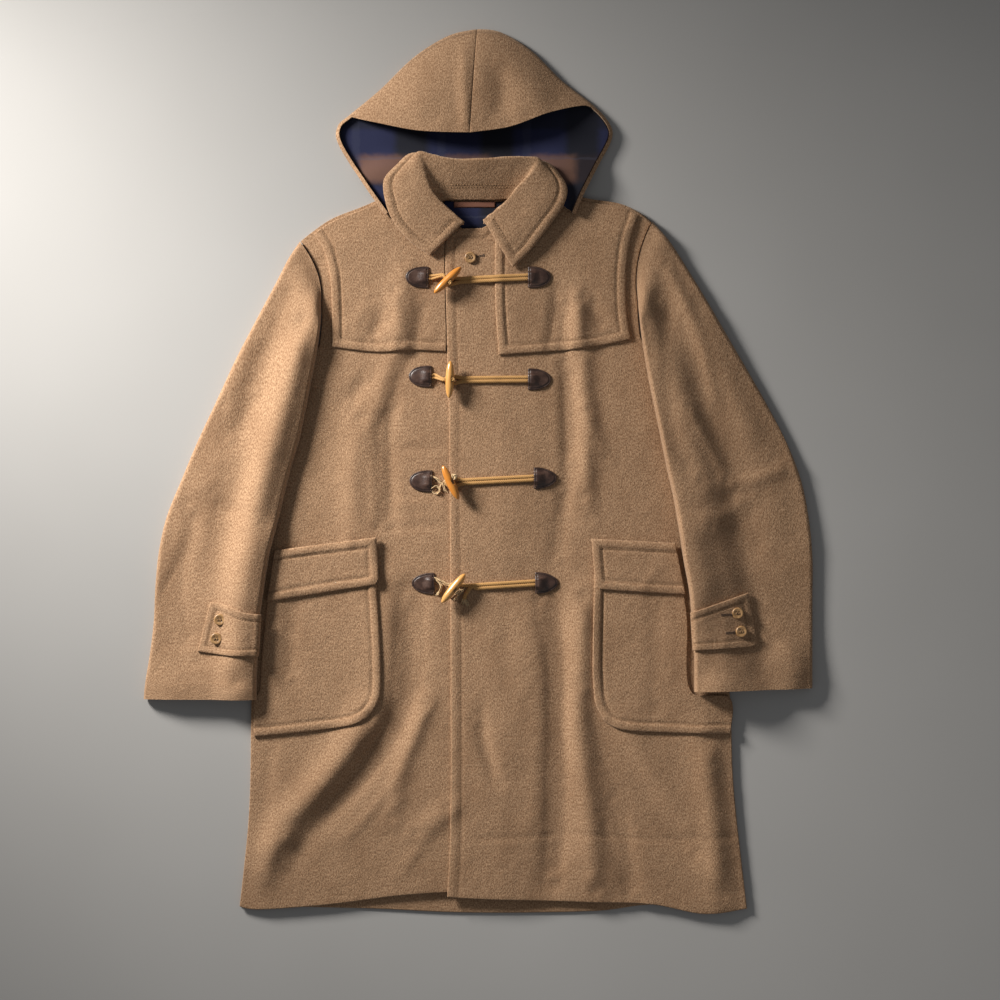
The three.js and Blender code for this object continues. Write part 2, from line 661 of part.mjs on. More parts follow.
// Buttons: a turned disc with a raised rim
function buttonGeometry() {
  const profile = [
    [0, 0],
    [BUTTON_RADIUS - 1, 0],
    [BUTTON_RADIUS, 1],
    [BUTTON_RADIUS - 0.6, BUTTON_THICK],
    [BUTTON_RADIUS - 2.2, BUTTON_THICK],
    [BUTTON_RADIUS - 3.2, BUTTON_THICK - 0.9],
    [0, BUTTON_THICK - 0.9],
  ].map(([x, y]) => new THREE.Vector2(x, y));
  return new THREE.LatheGeometry(profile, 12).rotateX(Math.PI / 2);
}
function addButton(name, x, y, seat) {
  addPiece(name, buttonGeometry(), BUTTON).position.set(x, y, seat + GAP);
}
const CUFF_BUTTONS = table("side number x y", [
  ["right", 1, -354, -204],
  ["right", 2, -359, -230],
  ["left", 1, 355, -195],
  ["left", 2, 360, -220],
]);
for (const { side, number, x, y } of CUFF_BUTTONS)
  addButton("cuff_button_" + side + "_" + number, x, y, topOver(tabs[side], x, y, BUTTON_RADIUS));
const NECK_BUTTON = [-11, 293];

// The highest point of the body within a distance of a place
function restHeight(x, y, reach) {
  let top = bodyTop(x, y);
  for (let i = 0; i < 12; i++) {
    const angle = (i * Math.PI) / 6;
    for (const away of [reach / 2, reach])
      top = Math.max(top, bodyTop(x + away * Math.cos(angle), y + away * Math.sin(angle)));
  }
  return top;
}
addButton("neck_button", ...NECK_BUTTON, restHeight(...NECK_BUTTON, BUTTON_RADIUS));

// The hood: a pouch with a lower layer on the floor, an upper one that rises to its mouth, and a centre seam
const HOOD_OUTLINE = outline([HOOD_FOLD, HOOD_NECK_LEFT, HOOD_NECK_BACK, HOOD_NECK_RIGHT], 20);
const hoodFold = curve(HOOD_FOLD, 20);
const memo = (height) => {
  const known = new Map();
  return (x, y) => {
    const key = x + " " + y;
    if (!known.has(key)) known.set(key, height(x, y));
    return known.get(key);
  };
};
const HOOD_REACH = { reach: 39, slope: 0.5, range: 70 }; // how the lower layer rides up over the shoulders
const hoodLow = memo((x, y) => supportOver(x, y, HOOD_REACH.reach, HOOD_REACH.slope, HOOD_REACH.range));
const hoodFloorTop = above(hoodLow, CLOTH);
const LINING_ROOM = LINING + 2 * GAP;
const hoodCeiling = memo((x, y) => {
  const away = inside(HOOD_OUTLINE, x, y) ? distanceToRun(x, y, hoodFold) : 0;
  const rise = HOOD_RISE * (1 - Math.exp(-away / 45));
  const folds = smoothstep(away, 0, 60) * foldHeight(HOOD_FOLDS, x, y);
  return hoodFloorTop(x, y) + LINING_ROOM + Math.max(0, rise + folds);
});
const mouthRegion = [...curve(HOOD_MOUTH, 20), [215, 300], [-215, 300]];
const hoodHollow = slab(inset(HOOD_OUTLINE, CLOTH + GAP), hoodFloorTop, hoodCeiling, HOOD_CELL).add(
  slab(mouthRegion, hoodFloorTop, above(hoodFloorTop, 100), HOOD_CELL),
);
const hood = slab(HOOD_OUTLINE, hoodLow, above(hoodCeiling, CLOTH), HOOD_CELL).subtract(hoodHollow);
const seamRun = curve(HOOD_SEAM);
const SEAM_HALF = GAP / 2 + 0.05;
const rightHalf = [[-300, 300], [-300, 640], ...seamRun.map(([x, y]) => [x - SEAM_HALF, y])];
const leftHalf = [[300, 300], [300, 640], ...seamRun.map(([x, y]) => [x + SEAM_HALF, y])];
addPiece("hood_right", geometryOf(hood.intersect(solidOf(prism(rightHalf, -20, 200)))), CAMEL);
addPiece("hood_left", geometryOf(hood.intersect(solidOf(prism(leftHalf, -20, 200)))), CAMEL);

// The hood's lining, where it shows: on the lower layer, from the neck to a little way under the upper one
const LINING_INSET = 5.5;
const liningReach = [
  [-300, 300],
  [-300, 505],
  ...curve(HOOD_MOUTH, 20).map(([x, y]) => [x, y + 40]),
  [300, 505],
  [300, 300],
];
const hoodLining = slab(
  inset(HOOD_OUTLINE, LINING_INSET),
  above(hoodFloorTop, GAP),
  above(hoodFloorTop, GAP + LINING),
  HOOD_CELL,
).intersect(solidOf(prism(liningReach)));
addPiece("hood_lining", geometryOf(hoodLining), CHECK);

// The collar: one wall that rises from the neck seam, rolls over and falls to its edge
const COLLAR_STATIONS = 32;
const COLLAR_POINTS = 8;

// The middle of the wall at a station, from the neck seam over the roll to the edge.
function collarSection(station) {
  const neck = new THREE.Vector3(station.neckX, station.neckY, station.neckZ);
  const roll = new THREE.Vector3(station.rollX, station.rollY, station.rollZ);
  const edge = new THREE.Vector3(station.edgeX, station.edgeY, station.edgeZ);
  const rise = neck.clone().lerp(roll, 0.5).add(new THREE.Vector3(0, 0, COLLAR_BULGE / 2));
  const fall = roll.clone().lerp(edge, 0.5).add(new THREE.Vector3(0, 0, COLLAR_BULGE));
  const spline = new THREE.CatmullRomCurve3([neck, rise, roll, fall, edge], false, "centripetal");
  return spline.getSpacedPoints(COLLAR_POINTS);
}

// Two grids at half a thickness to each side of a grid of middle points, along the surface's own normals.
function thickened(middle, thickness) {
  const rows = middle.length;
  const columns = middle[0].length;
  const offset = (sign) =>
    middle.map((row, r) =>
      row.map((point, c) => {
        const alongRow = middle[r][Math.min(c + 1, columns - 1)].clone().sub(middle[r][Math.max(c - 1, 0)]);
        const acrossRows = middle[Math.min(r + 1, rows - 1)][c].clone().sub(middle[Math.max(r - 1, 0)][c]);
        const normal = alongRow.cross(acrossRows).normalize();
        return point.clone().addScaledVector(normal, (sign * thickness) / 2).toArray();
      }),
    );
  return [offset(1), offset(-1)];
}

const collarColumns = Object.keys(COLLAR[0]).map((name) => [name, smoothColumn(COLLAR, name)]);
const collarStation = (t) => Object.fromEntries(collarColumns.map(([name, read]) => [name, read(t)]));
const collarMiddle = Array.from({ length: COLLAR_STATIONS + 1 }, (_, s) =>
  collarSection(collarStation(s / COLLAR_STATIONS)),
);
const collarGrids = thickened(collarMiddle, COLLAR_WALL);
addPiece("collar", geometryOf(facingOut(wallBetween, ...collarGrids, false)), CAMEL);

// Leather patches: straight towards the cord, round away from it
function patchOutline(x, y, away) {
  const half = PATCH_HEIGHT / 2;
  const straight = x - (away * PATCH_WIDTH) / 2;
  const points = [[straight, y - half + 1.5], [straight, y + half - 1.5]];
  for (let i = 0; i <= 8; i++) {
    const angle = Math.PI / 2 - (i * Math.PI) / 8;
    const bow = Math.cos(angle) ** 0.8 * (PATCH_WIDTH - 4);
    points.push([straight + away * (4 + bow), y + half * Math.sin(angle)]);
  }
  return points;
}

// A tube with eight sides along a smooth path, closed at both ends
function cordGeometry(points, diameter, steps) {
  const section = new THREE.Shape();
  for (let i = 0; i < 8; i++) {
    const angle = ((i + 0.5) * Math.PI) / 4;
    const x = (diameter / 2) * Math.cos(angle);
    const y = (diameter / 2) * Math.sin(angle);
    if (i === 0) section.moveTo(x, y);
    else section.lineTo(x, y);
  }
  section.closePath();
  return new THREE.ExtrudeGeometry(section, {
    steps,
    bevelEnabled: false,
    extrudePath: new THREE.CatmullRomCurve3(points, false, "centripetal"),
  });
}

function spindleGeometry() {
  const profile = [];
  for (let i = 0; i <= 8; i++) {
    const t = -1 + (2 * i) / 8;
    const radius = i === 0 || i === 8 ? 0 : TOGGLE_RADIUS * (1 - Math.abs(t) ** 2.2) ** 0.7;
    profile.push(new THREE.Vector2(radius, (t * TOGGLE_LENGTH) / 2));
  }
  return new THREE.LatheGeometry(profile, 10);
}

FASTENINGS.forEach((row, index) => {
  const number = index + 1;
  const onYoke = index === 0;
  const rightTop = onYoke ? above(frontRightTop, LAYER) : frontRightTop;
  const leftTop = onYoke ? above(frontLeftTop, LAYER) : frontLeftTop;
  const patches = {
    right: [row.rightX, row.rightY, -1, rightTop],
    left: [row.leftX, row.leftY, 1, leftTop],
  };
  for (const [side, [x, y, away, top]] of Object.entries(patches)) {
    const leather = slab(patchOutline(x, y, away), above(top, GAP), above(top, GAP + PATCH));
    addPiece("patch_" + side + "_" + number, geometryOf(leather), LEATHER);
  }

  // The loop: out of the left patch, round the toggle's cord and back
  const startX = row.leftX - PATCH_WIDTH / 2 - GAP;
  const slope = (row.leftY - row.toggleY) / (startX - row.toggleX);
  const loopPoint = (x, side) => {
    const y = row.toggleY + slope * (x - row.toggleX) + side;
    return new THREE.Vector3(x, y, restHeight(x, y, 2 * CORD) + CORD / 2 + CORD_GAP);
  };
  const straight = [];
  for (let i = 0; i <= 7; i++) straight.push(startX + (i / 7) * (row.toggleX + 18 - startX));
  const loop = [
    ...straight.map((x) => loopPoint(x, STRAND)),
    loopPoint(row.toggleX + 5, LOOP_SPREAD),
    loopPoint(row.toggleX - 2, LOOP_SPREAD - 0.6),
    loopPoint(row.toggleX - 6, 0),
    loopPoint(row.toggleX - 2, -LOOP_SPREAD + 0.6),
    loopPoint(row.toggleX + 5, -LOOP_SPREAD),
    ...[...straight].reverse().map((x) => loopPoint(x, -STRAND)),
  ];
  addPiece("loop_cord_" + number, cordGeometry(loop, CORD, 21), BRAID);

  // The toggle, on the loop, with a hole across it for its own cord
  const angle = THREE.MathUtils.degToRad(row.angle);
  const along = new THREE.Vector2(Math.cos(angle), Math.sin(angle));
  let bed = 0;
  for (let i = -3; i <= 3; i++) {
    const reach = (i / 3) * (TOGGLE_LENGTH / 2);
    const lift = Math.abs(i) < 2 ? CORD + CORD_GAP : TOGGLE_RADIUS * -0.35;
    const x = row.toggleX + reach * along.x;
    const y = row.toggleY + reach * along.y;
    bed = Math.max(bed, restHeight(x, y, TOGGLE_RADIUS) + lift);
  }
  const toggleZ = bed + TOGGLE_RADIUS + CORD_GAP;
  const place = new THREE.Matrix4()
    .makeTranslation(row.toggleX, row.toggleY, toggleZ)
    .multiply(new THREE.Matrix4().makeRotationZ(angle - Math.PI / 2));
  const hole = new THREE.CylinderGeometry(
    TOGGLE_CORD / 2 + GAP + 0.2,
    TOGGLE_CORD / 2 + GAP + 0.2,
    4 * TOGGLE_RADIUS,
    8,
  ).rotateZ(Math.PI / 2);
  const toggle = solidOf(spindleGeometry()).subtract(solidOf(hole));
  addPiece("toggle_" + number, geometryOf(toggle).applyMatrix4(place), HORN);

  // The toggle's cord: out of the right patch, up to the toggle, and through it
  const patchX = row.rightX + PATCH_WIDTH / 2 + GAP;
  const patchZ = restHeight(patchX, row.rightY, TOGGLE_CORD) + TOGGLE_CORD / 2 + CORD_GAP;
  const across = new THREE.Vector2(Math.sin(angle), -Math.cos(angle));
  const throughHole = (reach) =>
    new THREE.Vector3(row.toggleX + reach * across.x, row.toggleY + reach * across.y, toggleZ);
  const stem = [
    new THREE.Vector3(patchX, row.rightY, patchZ),
    new THREE.Vector3(patchX + 5, row.rightY, patchZ + 1),
    throughHole(-TOGGLE_RADIUS - 3.5),
    throughHole(-TOGGLE_RADIUS),
    throughHole(0),
    throughHole(TOGGLE_RADIUS + 1.8),
  ];
  addPiece("toggle_cord_" + number, cordGeometry(stem, TOGGLE_CORD, 6), BRAID);
});

export default coat;
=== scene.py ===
# %% [markdown]
# # A wool duffle coat, laid flat
# The coat lies face up on a pale floor, with its hood spread above the collar, and the camera looks
# straight down on it. The solid model gives every piece its place and thickness. This file gives each
# piece the surface that the eye reads: thick camel wool with its nap, soft folds and stitched welts, a
# woven check lining, leather patches, braided cords, and toggles and buttons of horn.
#
# Lengths are in millimetres until a mesh is made, because a coat is cut in millimetres.

# %% Load the frame
import json
import math

import bpy
import numpy as np
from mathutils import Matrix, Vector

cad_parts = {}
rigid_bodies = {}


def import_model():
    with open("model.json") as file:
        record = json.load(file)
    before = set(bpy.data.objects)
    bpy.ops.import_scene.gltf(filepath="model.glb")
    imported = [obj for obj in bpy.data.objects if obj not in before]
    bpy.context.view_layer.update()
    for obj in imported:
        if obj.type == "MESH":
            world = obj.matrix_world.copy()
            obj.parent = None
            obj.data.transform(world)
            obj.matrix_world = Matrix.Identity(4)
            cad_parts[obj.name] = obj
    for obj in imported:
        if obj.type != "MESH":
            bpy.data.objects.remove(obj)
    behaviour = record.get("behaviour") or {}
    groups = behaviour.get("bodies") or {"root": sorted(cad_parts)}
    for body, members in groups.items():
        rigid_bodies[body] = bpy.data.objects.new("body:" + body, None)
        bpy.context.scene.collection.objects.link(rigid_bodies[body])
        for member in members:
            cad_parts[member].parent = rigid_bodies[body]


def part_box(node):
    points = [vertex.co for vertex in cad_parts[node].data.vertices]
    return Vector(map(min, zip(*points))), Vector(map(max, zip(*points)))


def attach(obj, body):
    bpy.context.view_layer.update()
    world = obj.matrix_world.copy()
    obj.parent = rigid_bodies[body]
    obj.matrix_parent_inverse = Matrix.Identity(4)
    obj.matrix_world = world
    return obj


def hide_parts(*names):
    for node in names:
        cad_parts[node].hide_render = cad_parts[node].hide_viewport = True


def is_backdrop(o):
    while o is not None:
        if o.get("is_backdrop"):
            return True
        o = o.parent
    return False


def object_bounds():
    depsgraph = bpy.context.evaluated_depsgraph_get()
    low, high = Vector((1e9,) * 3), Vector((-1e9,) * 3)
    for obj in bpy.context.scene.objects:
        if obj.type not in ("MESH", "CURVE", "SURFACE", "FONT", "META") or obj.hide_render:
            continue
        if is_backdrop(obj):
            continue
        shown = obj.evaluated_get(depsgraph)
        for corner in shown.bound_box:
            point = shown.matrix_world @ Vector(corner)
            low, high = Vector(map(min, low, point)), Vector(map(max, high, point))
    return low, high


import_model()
cad_box = [list(corner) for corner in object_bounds()]
MM = 0.001
print("solid model:", [round(v, 3) for v in cad_box[0] + cad_box[1]])

# %% [markdown]
# ## Sizes
# The cloth of a duffle coat is melton, a felted wool about 3 mm thick. Each layer lies on the one below
# with a hair of air between them, so heights are worked out by adding layers. The outlines are runs of
# points. A run of two is a straight cut, and a longer one is a smooth curve, as a tailor's curve draws
# it through marks.

# %% Cloth, air and gaps
CLOTH = 3.0
LINING = 1.0
GAP = 0.3
LAYER = CLOTH + GAP
BODY_AIR = 2.4
SLEEVE_WALL = 4.0
SLEEVE_AIR = 3.4
COLLAR_WALL = 4.0
EASE_WIDTH = 45.0
LAP_NEAR, LAP_FAR = 32.0, 96.0
UNDERLAP = 28.0
ARMHOLE_GAP = 1.0
HEAD_BOW = 9.0
CUFF_GAPE = 5.0
HOOD_RISE = 26.0
CORD = 5.2

# %% Outlines of the body
SHOULDER_RIGHT = [(-244, 316), (-228, 329), (-200, 348), (-155, 366), (-106, 388)]
SHOULDER_LEFT = [(106, 390), (146, 376), (193, 368), (220, 356), (238, 342)]
SIDE_RIGHT = [(-219, 172), (-252, 118), (-291, -60), (-309, -200), (-313, -330), (-316, -470), (-329, -600)]
SIDE_LEFT = [(223, 184), (258, 112), (303, -60), (336, -200), (347, -320), (352, -440), (370, -603)]
HEM_RIGHT = [(-329, -600), (-302, -604), (-206, -597), (-111, -585), (-44, -580)]
HEM_LEFT = [(-43, -586), (3, -589), (157, -594), (240, -597), (310, -610), (370, -603)]
HEM_BACK = [(-329, -600), (-159, -603), (-16, -609), (157, -607), (240, -598), (370, -603)]
FRONT_EDGE = [(-43, 324), (-46, 300), (-43, 167), (-40, 29), (-38, -344), (-39, -500), (-43, -586)]
NECK_RIGHT = [(-106, 388), (-80, 370), (-58, 357), (-36, 343), (-23, 334)]
NECK_LEFT = [(5, 334), (22, 343), (48, 360), (78, 376), (106, 390)]
NECK_BACK = [(-106, 388), (-60, 378), (0, 374), (60, 378), (106, 390)]

# %% Outlines of the yokes, pockets, flaps and cuff tabs, each as its left, bottom, right and top side
YOKE_RIGHT = {
    "left": [(-201, 170), (-202, 236), (-205, 273), (-214, 306), (-227, 326)],
    "bottom": [(-201, 170), (-136, 163), (-92, 166), (-44, 164)],
    "right": [(-44, 164), (-44.4, 200), (-47, 290), (-46, 320), (-46, 330)],
    "top": [(-227, 326), (-200, 344), (-155, 362), (-108, 384), (-78, 366), (-49, 346), (-46, 330)],
}
YOKE_LEFT = {
    "left": [(28, 159), (23, 236), (23, 338)],
    "bottom": [(28, 159), (140, 168), (210, 181)],
    "right": [(210, 181), (204, 219), (203, 266), (208, 313), (220, 352)],
    "top": [(23, 338), (50, 356), (80, 372), (110, 384), (146, 371), (193, 364), (220, 352)],
}
POCKET_RIGHT = {
    "left": [(-309, -366), (-309, -316), (-301, -300), (-297, -240), (-283, -116)],
    "bottom": [(-309, -366), (-224, -357), (-175, -349), (-152, -338)],
    "right": [(-152, -338), (-139, -320), (-134, -295), (-135, -235), (-140, -160), (-145, -100)],
    "top": [(-283, -116), (-145, -100)],
}
POCKET_LEFT = {
    "left": [(174, -345), (162, -323), (158, -295), (157, -250), (160, -102)],
    "bottom": [(174, -345), (199, -356), (260, -360), (347, -362)],
    "right": [(347, -362), (346, -312), (292, -302), (287, -200), (272, -106)],
    "top": [(160, -102), (272, -106)],
}
FLAP_RIGHT = {
    "left": [(-291, -180), (-280, -109)],
    "bottom": [(-291, -180), (-204, -166), (-146, -157), (-141, -154)],
    "right": [(-141, -154), (-137, -147), (-137, -142), (-140, -91)],
    "top": [(-280, -109), (-140, -91)],
}
FLAP_LEFT = {
    "left": [(166, -161), (161, -155), (160, -148), (155, -93)],
    "bottom": [(166, -161), (172, -163), (230, -167), (285, -170)],
    "right": [(285, -170), (271, -99)],
    "top": [(155, -93), (271, -99)],
}
TAB_RIGHT = {
    "left": [(-386, -248), (-368, -180)],
    "bottom": [(-386, -248), (-343, -253), (-300, -254)],
    "right": [(-300, -254), (-296.5, -197)],
    "top": [(-368, -180), (-349, -182), (-322, -193), (-296.5, -197)],
}
TAB_LEFT = {
    "left": [(293, -246), (289.5, -194)],
    "bottom": [(293, -246), (372, -241)],
    "right": [(372, -241), (381, -238), (382, -229), (370, -167)],
    "top": [(289.5, -194), (370, -167)],
}

# %% Outlines of the hood
HOOD_FOLD = [
    (-128, 351), (-159, 395), (-193, 450), (-194, 475), (-177, 491), (-136, 525), (-88, 571), (-41, 600),
    (-2, 609.2), (30, 605), (72, 580), (115, 538), (157, 505), (180, 480), (184, 458), (165, 420), (144, 378),
    (133, 352),
]
HOOD_APEX = 8

# %% Sleeves, station by station from the armhole to the cuff
SLEEVE_COLUMNS = ("outer_x", "outer_y", "inner_x", "inner_y", "outer", "middle", "inner")
SLEEVE_RIGHT = [
    (-246, 316, -216.5, 232, 0, 0, 0),
    (-262, 291, -216.5, 205, 0, 0, 2),
    (-281, 255, -220, 172, -1, 1, 3),
    (-306, 208, -227, 134, -1.5, 0, 4),
    (-334, 154, -236, 88, -1.5, 0, 4.5),
    (-360, 98, -246, 42, 0, 1, 5),
    (-387, 40, -257, 4, 1, 1, 5),
    (-408, -10, -266, -32, 2, 0, 5),
    (-429, -62, -277, -78, 1, -1.5, 5),
    (-440, -110, -286, -114, 1, -1, 4.5),
    (-445, -160, -293, -158, -1, 1, 4),
    (-447, -205, -299, -200, -1.5, 2, 3.5),
    (-452, -248, -302, -246, -0.5, 1, 3),
    (-459, -292, -304, -290, 1, 2, 2.5),
    (-461, -314, -304, -314, 1.5, 2, 2.5),
]
SLEEVE_LEFT = [
    (240, 343, 219.5, 238, 0, 0, 0),
    (264, 315, 221, 212, 0, 0, 2),
    (290, 275, 224, 184, 2, -1, 3),
    (318, 229, 232, 134, 2.5, 0, 3.5),
    (344, 184, 241, 90, 3, 1, 3.5),
    (372, 136, 250, 46, 3, 2, 3.5),
    (398, 90, 259, 2, 3, 2, 3.5),
    (424, 40, 268, -38, 2.5, 0, 3.5),
    (444, -12, 275, -82, 2, -1.5, 3.5),
    (455, -66, 281, -122, 2.5, -1.5, 3.5),
    (460, -120, 288, -160, 2, 0, 3.5),
    (460, -172, 292, -196, 2, 0, 3),
    (460, -224, 295, -232, 2, 0.5, 3),
    (460, -266, 296, -270, 3, 1, 2.5),
    (460, -299, 296, -303, 4, 1.5, 2.5),
]

# %% The collar, station by station from its right front end to its left one
COLLAR_COLUMNS = ("neck_x", "neck_y", "neck_z", "roll_x", "roll_y", "roll_z", "edge_x", "edge_y", "edge_z")
COLLAR = [
    (-20, 338, 16.5, -21, 339, 21, -66, 295, 16.5),
    (-26, 343, 16, -33, 348, 23, -97, 318, 18),
    (-40, 354, 14.5, -52, 365, 25, -119, 346, 21),
    (-50, 362, 13.5, -66, 382, 27, -129, 376, 22),
    (-52, 367, 12.5, -74, 401, 28, -129, 400, 21),
    (-50, 370, 11, -78, 419, 29, -113, 418, 19),
    (-46, 372, 10, -78, 432, 30, -92, 433, 17),
    (-38, 373, 8.4, -62, 430, 31, -64, 416, 13.5),
    (-22, 373, 8, -38, 425, 32, -38, 407, 12.5),
    (0, 373, 8, 0, 424, 32, 0, 405, 12.5),
    (22, 373, 8, 40, 427, 32, 40, 409, 12.5),
    (36, 374, 8.4, 64, 427, 31, 66, 414, 13.5),
    (44, 373, 10, 79, 424, 30, 95, 420, 17),
    (48, 371, 12, 76, 411, 29, 114, 403, 19),
    (48, 368, 14, 67, 399, 28, 122, 386, 21),
    (45, 364, 15.5, 56, 387, 27, 117, 364, 22),
    (38, 358, 17, 46, 374, 26, 100, 339, 22),
    (30, 352, 17.5, 36, 363, 25, 83, 317, 21),
    (20, 346, 18, 24, 353, 24, 66, 296, 20),
    (7, 339, 18.5, 8, 341, 23, 47, 279, 19),
]

# %% Fastenings and buttons
# Each row: the middles of the right patch, the left patch and the toggle, and its angle in degrees
FASTENINGS = [
    ((-84, 266), (84, 266), (-42, 261), 44),
    ((-80, 130), (84, 126), (-39, 125), 88),
    ((-79, -14), (92, -10), (-38, -16), 115),
    ((-76, -155), (94, -154), (-34, -161), 51),
]
PATCH_WIDTH, PATCH_HEIGHT, PATCH_THICK = 32.0, 30.0, 2.2

# %% [markdown]
# ## Working with whole arrays
# Every surface here is worked out with numpy, a whole grid of points at once. A few small functions do
# most of the work: one draws a smooth curve through marks, one finds how far each point is from a line,
# and one reads a table of heights between its points.

# %% Curves
def smoothstep(value, low, high):
    """0 below low, 1 above high, and 3t^2 - 2t^3 between them."""
    t = np.clip((value - low) / (high - low), 0, 1)
    return t * t * (3 - 2 * t)


def spaced(points, t):
    """The points at the shares t of the way along a polyline, measured by its length."""
    points = np.asarray(points, float)
    far = np.concatenate([[0], np.cumsum(np.linalg.norm(np.diff(points, axis=0), axis=1))])
    return np.stack([np.interp(t * far[-1], far, column) for column in points.T], axis=-1)


def length_of(points):
    """The length of a polyline."""
    return np.linalg.norm(np.diff(np.asarray(points, float), axis=0), axis=1).sum()


def curve(run, step=5.0):
    """Points about step apart: straight through two marks, a Catmull-Rom curve through more."""
    marks = np.asarray(run, float)
    if len(marks) > 2:
        t = np.linspace(0, 1, 17)[:-1, None]
        ends = np.vstack([marks[:1], marks, marks[-1:]])
        a, b, c, d = (ends[k : len(ends) - 3 + k, None] for k in range(4))
        square, cube = 2 * a - 5 * b + 4 * c - d, 3 * b - a - 3 * c + d
        spans = 0.5 * (2 * b + (c - a) * t + square * t**2 + cube * t**3)
        marks = np.vstack([spans.reshape(-1, marks.shape[1]), marks[-1:]])
    return spaced(marks, np.linspace(0, 1, max(2, math.ceil(length_of(marks) / step) + 1)))


def joined(*runs):
    """One polyline through runs that meet end to end."""
    curves = [curve(run) for run in runs]
    return np.vstack([curves[0], *(c[1:] for c in curves[1:])])


def away_from(line, x, y):
    """The distance of each place from a polyline: the least over its segments."""
    line = np.asarray(line, float)
    least = np.full(np.shape(x), np.inf)
    for (x0, y0), (x1, y1) in zip(line[:-1], line[1:]):
        dx, dy = x1 - x0, y1 - y0
        t = np.clip(((x - x0) * dx + (y - y0) * dy) / max(dx * dx + dy * dy, 1e-9), 0, 1)
        least = np.minimum(least, (x - x0 - t * dx) ** 2 + (y - y0 - t * dy) ** 2)
    return np.sqrt(least)


def inside(line, x, y):
    """Whether each place lies in a closed outline, by counting the edges to its right."""
    line = np.asarray(line, float)
    odd = np.zeros(np.shape(x), bool)
    for (x0, y0), (x1, y1) in zip(line, np.roll(line, -1, axis=0)):
        if y0 != y1:
            odd ^= ((y0 > y) != (y1 > y)) & (x < x0 + (y - y0) / (y1 - y0) * (x1 - x0))
    return odd


# %% Unevenness
def uneven(x, y, cell, seed):
    """Smooth noise from -1 to 1: random values on a square lattice of cell, blended between its
    corners."""
    values = np.random.default_rng(seed).uniform(-1, 1, (64, 64))
    u, v = np.asarray(x) / cell, np.asarray(y) / cell
    i, j = np.floor(u).astype(int), np.floor(v).astype(int)
    a, b = smoothstep(u - i, 0, 1), smoothstep(v - j, 0, 1)
    corner = lambda di, dj: values[(i + di) % 64, (j + dj) % 64]
    low = corner(0, 0) * (1 - a) + corner(1, 0) * a
    high = corner(0, 1) * (1 - a) + corner(1, 1) * a
    return low * (1 - b) + high * b


# %% [markdown]
# ## Folds
# A coat that was carried and then laid down keeps the folds of both. Each fold is a soft ridge or
# trough along a line: its height across the line is a bell, and along the line it swells and dies away.
# They are placed one by one, uneven in length and depth, as they are on the real coat.

# %% Fold tables: the line, the half width and the height
BODY_FOLDS = [
    ([(-150, -335), (-205, -420), (-262, -490), (-325, -565)], 24, 7.5),
    ([(-92, -170), (-99, -290), (-130, -370), (-190, -440), (-262, -505)], 19, -5.5),
    ([(-72, -320), (-104, -410), (-120, -480)], 13, 3.0),
    ([(-86, -498), (-62, -480), (-41, -462)], 13, 3.0),
    ([(-290, -380), (-296, -440), (-306, -500)], 11, -2.6),
    ([(-160, 75), (-172, -20), (-166, -105)], 19, 4.0),
    ([(-131, 70), (-130, 0), (-127, -75)], 12, -3.0),
    ([(-126, 214), (-138, 200), (-148, 178)], 10, -2.6),
    ([(-116, 250), (-110, 215), (-106, 175)], 14, 3.0),
    ([(-150, 132), (-166, 112), (-180, 92)], 11, -2.2),
    ([(-116, 94), (-126, 75), (-136, 56)], 10, -2.2),
    ([(94, -178), (110, -290), (108, -450), (101, -560)], 17, -4.4),
    ([(144, -170), (140, -270), (136, -360), (154, -460), (160, -580)], 16, 4.8),
    ([(147, -300), (182, -400), (236, -480), (292, -525)], 15, -3.2),
    ([(190, -458), (205, -520), (216, -585)], 12, -3.0),
    ([(316, -370), (330, -470), (338, -585)], 20, 5.5),
    ([(0, -342), (10, -385), (24, -424)], 10, -2.6),
    ([(116, 236), (110, 205), (106, 172)], 12, -3.0),
    ([(136, 236), (138, 205), (136, 168)], 11, 3.0),
    ([(152, 238), (162, 215), (176, 192)], 11, -2.4),
    ([(122, 142), (126, 80), (127, 10)], 12, -3.0),
    ([(143, 168), (150, 40), (144, -36)], 14, 3.4),
    ([(152, 86), (162, 50), (176, 16)], 11, 2.6),
    ([(118, -24), (112, -70), (110, -124)], 12, -2.6),
    ([(60, 60), (64, -20), (58, -90)], 34, 1.4),
    ([(-250, 40), (-262, -60), (-272, -100)], 26, -1.6),
    ([(230, 60), (252, -20), (262, -90)], 26, -1.4),
    ([(40, -230), (46, -330), (36, -430)], 30, 1.6),
]
HOOD_FOLDS = [
    ([(-19, 600), (-19, 530), (-17, 468)], 8, 2.6),
    ([(26, 560), (32, 520), (30, 478)], 15, -3.4),
    ([(-112, 530), (-80, 500), (-60, 478)], 22, 2.6),
    ([(96, 545), (82, 520), (70, 485)], 20, 2.0),
    ([(58, 590), (92, 545), (112, 508)], 38, 7.0),
]


def fold_height(folds, x, y):
    """The sum of all folds: height * bell across the line, fading within one and a half widths of its
    ends."""
    total = np.zeros(np.shape(x))
    for line, width, height in folds:
        points = curve(line, 12.0)
        distance = away_from(points, x, y)
        near = np.hypot(x - points[0][0], y - points[0][1])
        far = np.hypot(x - points[-1][0], y - points[-1][1])
        taper = smoothstep(np.minimum(near, far), -0.6 * width, 1.5 * width)
        total += height * taper * np.exp(-((distance / width) ** 2))
    return total


# %% [markdown]
# ## The heights of the body
# The back lies on the floor. Each front lies on it with some air, more on a ridge and none at the side
# seams, and the left front is lifted once more where it laps over the right one. Yokes, pockets and
# flaps are further layers on the same surface, so they can never cut through each other.

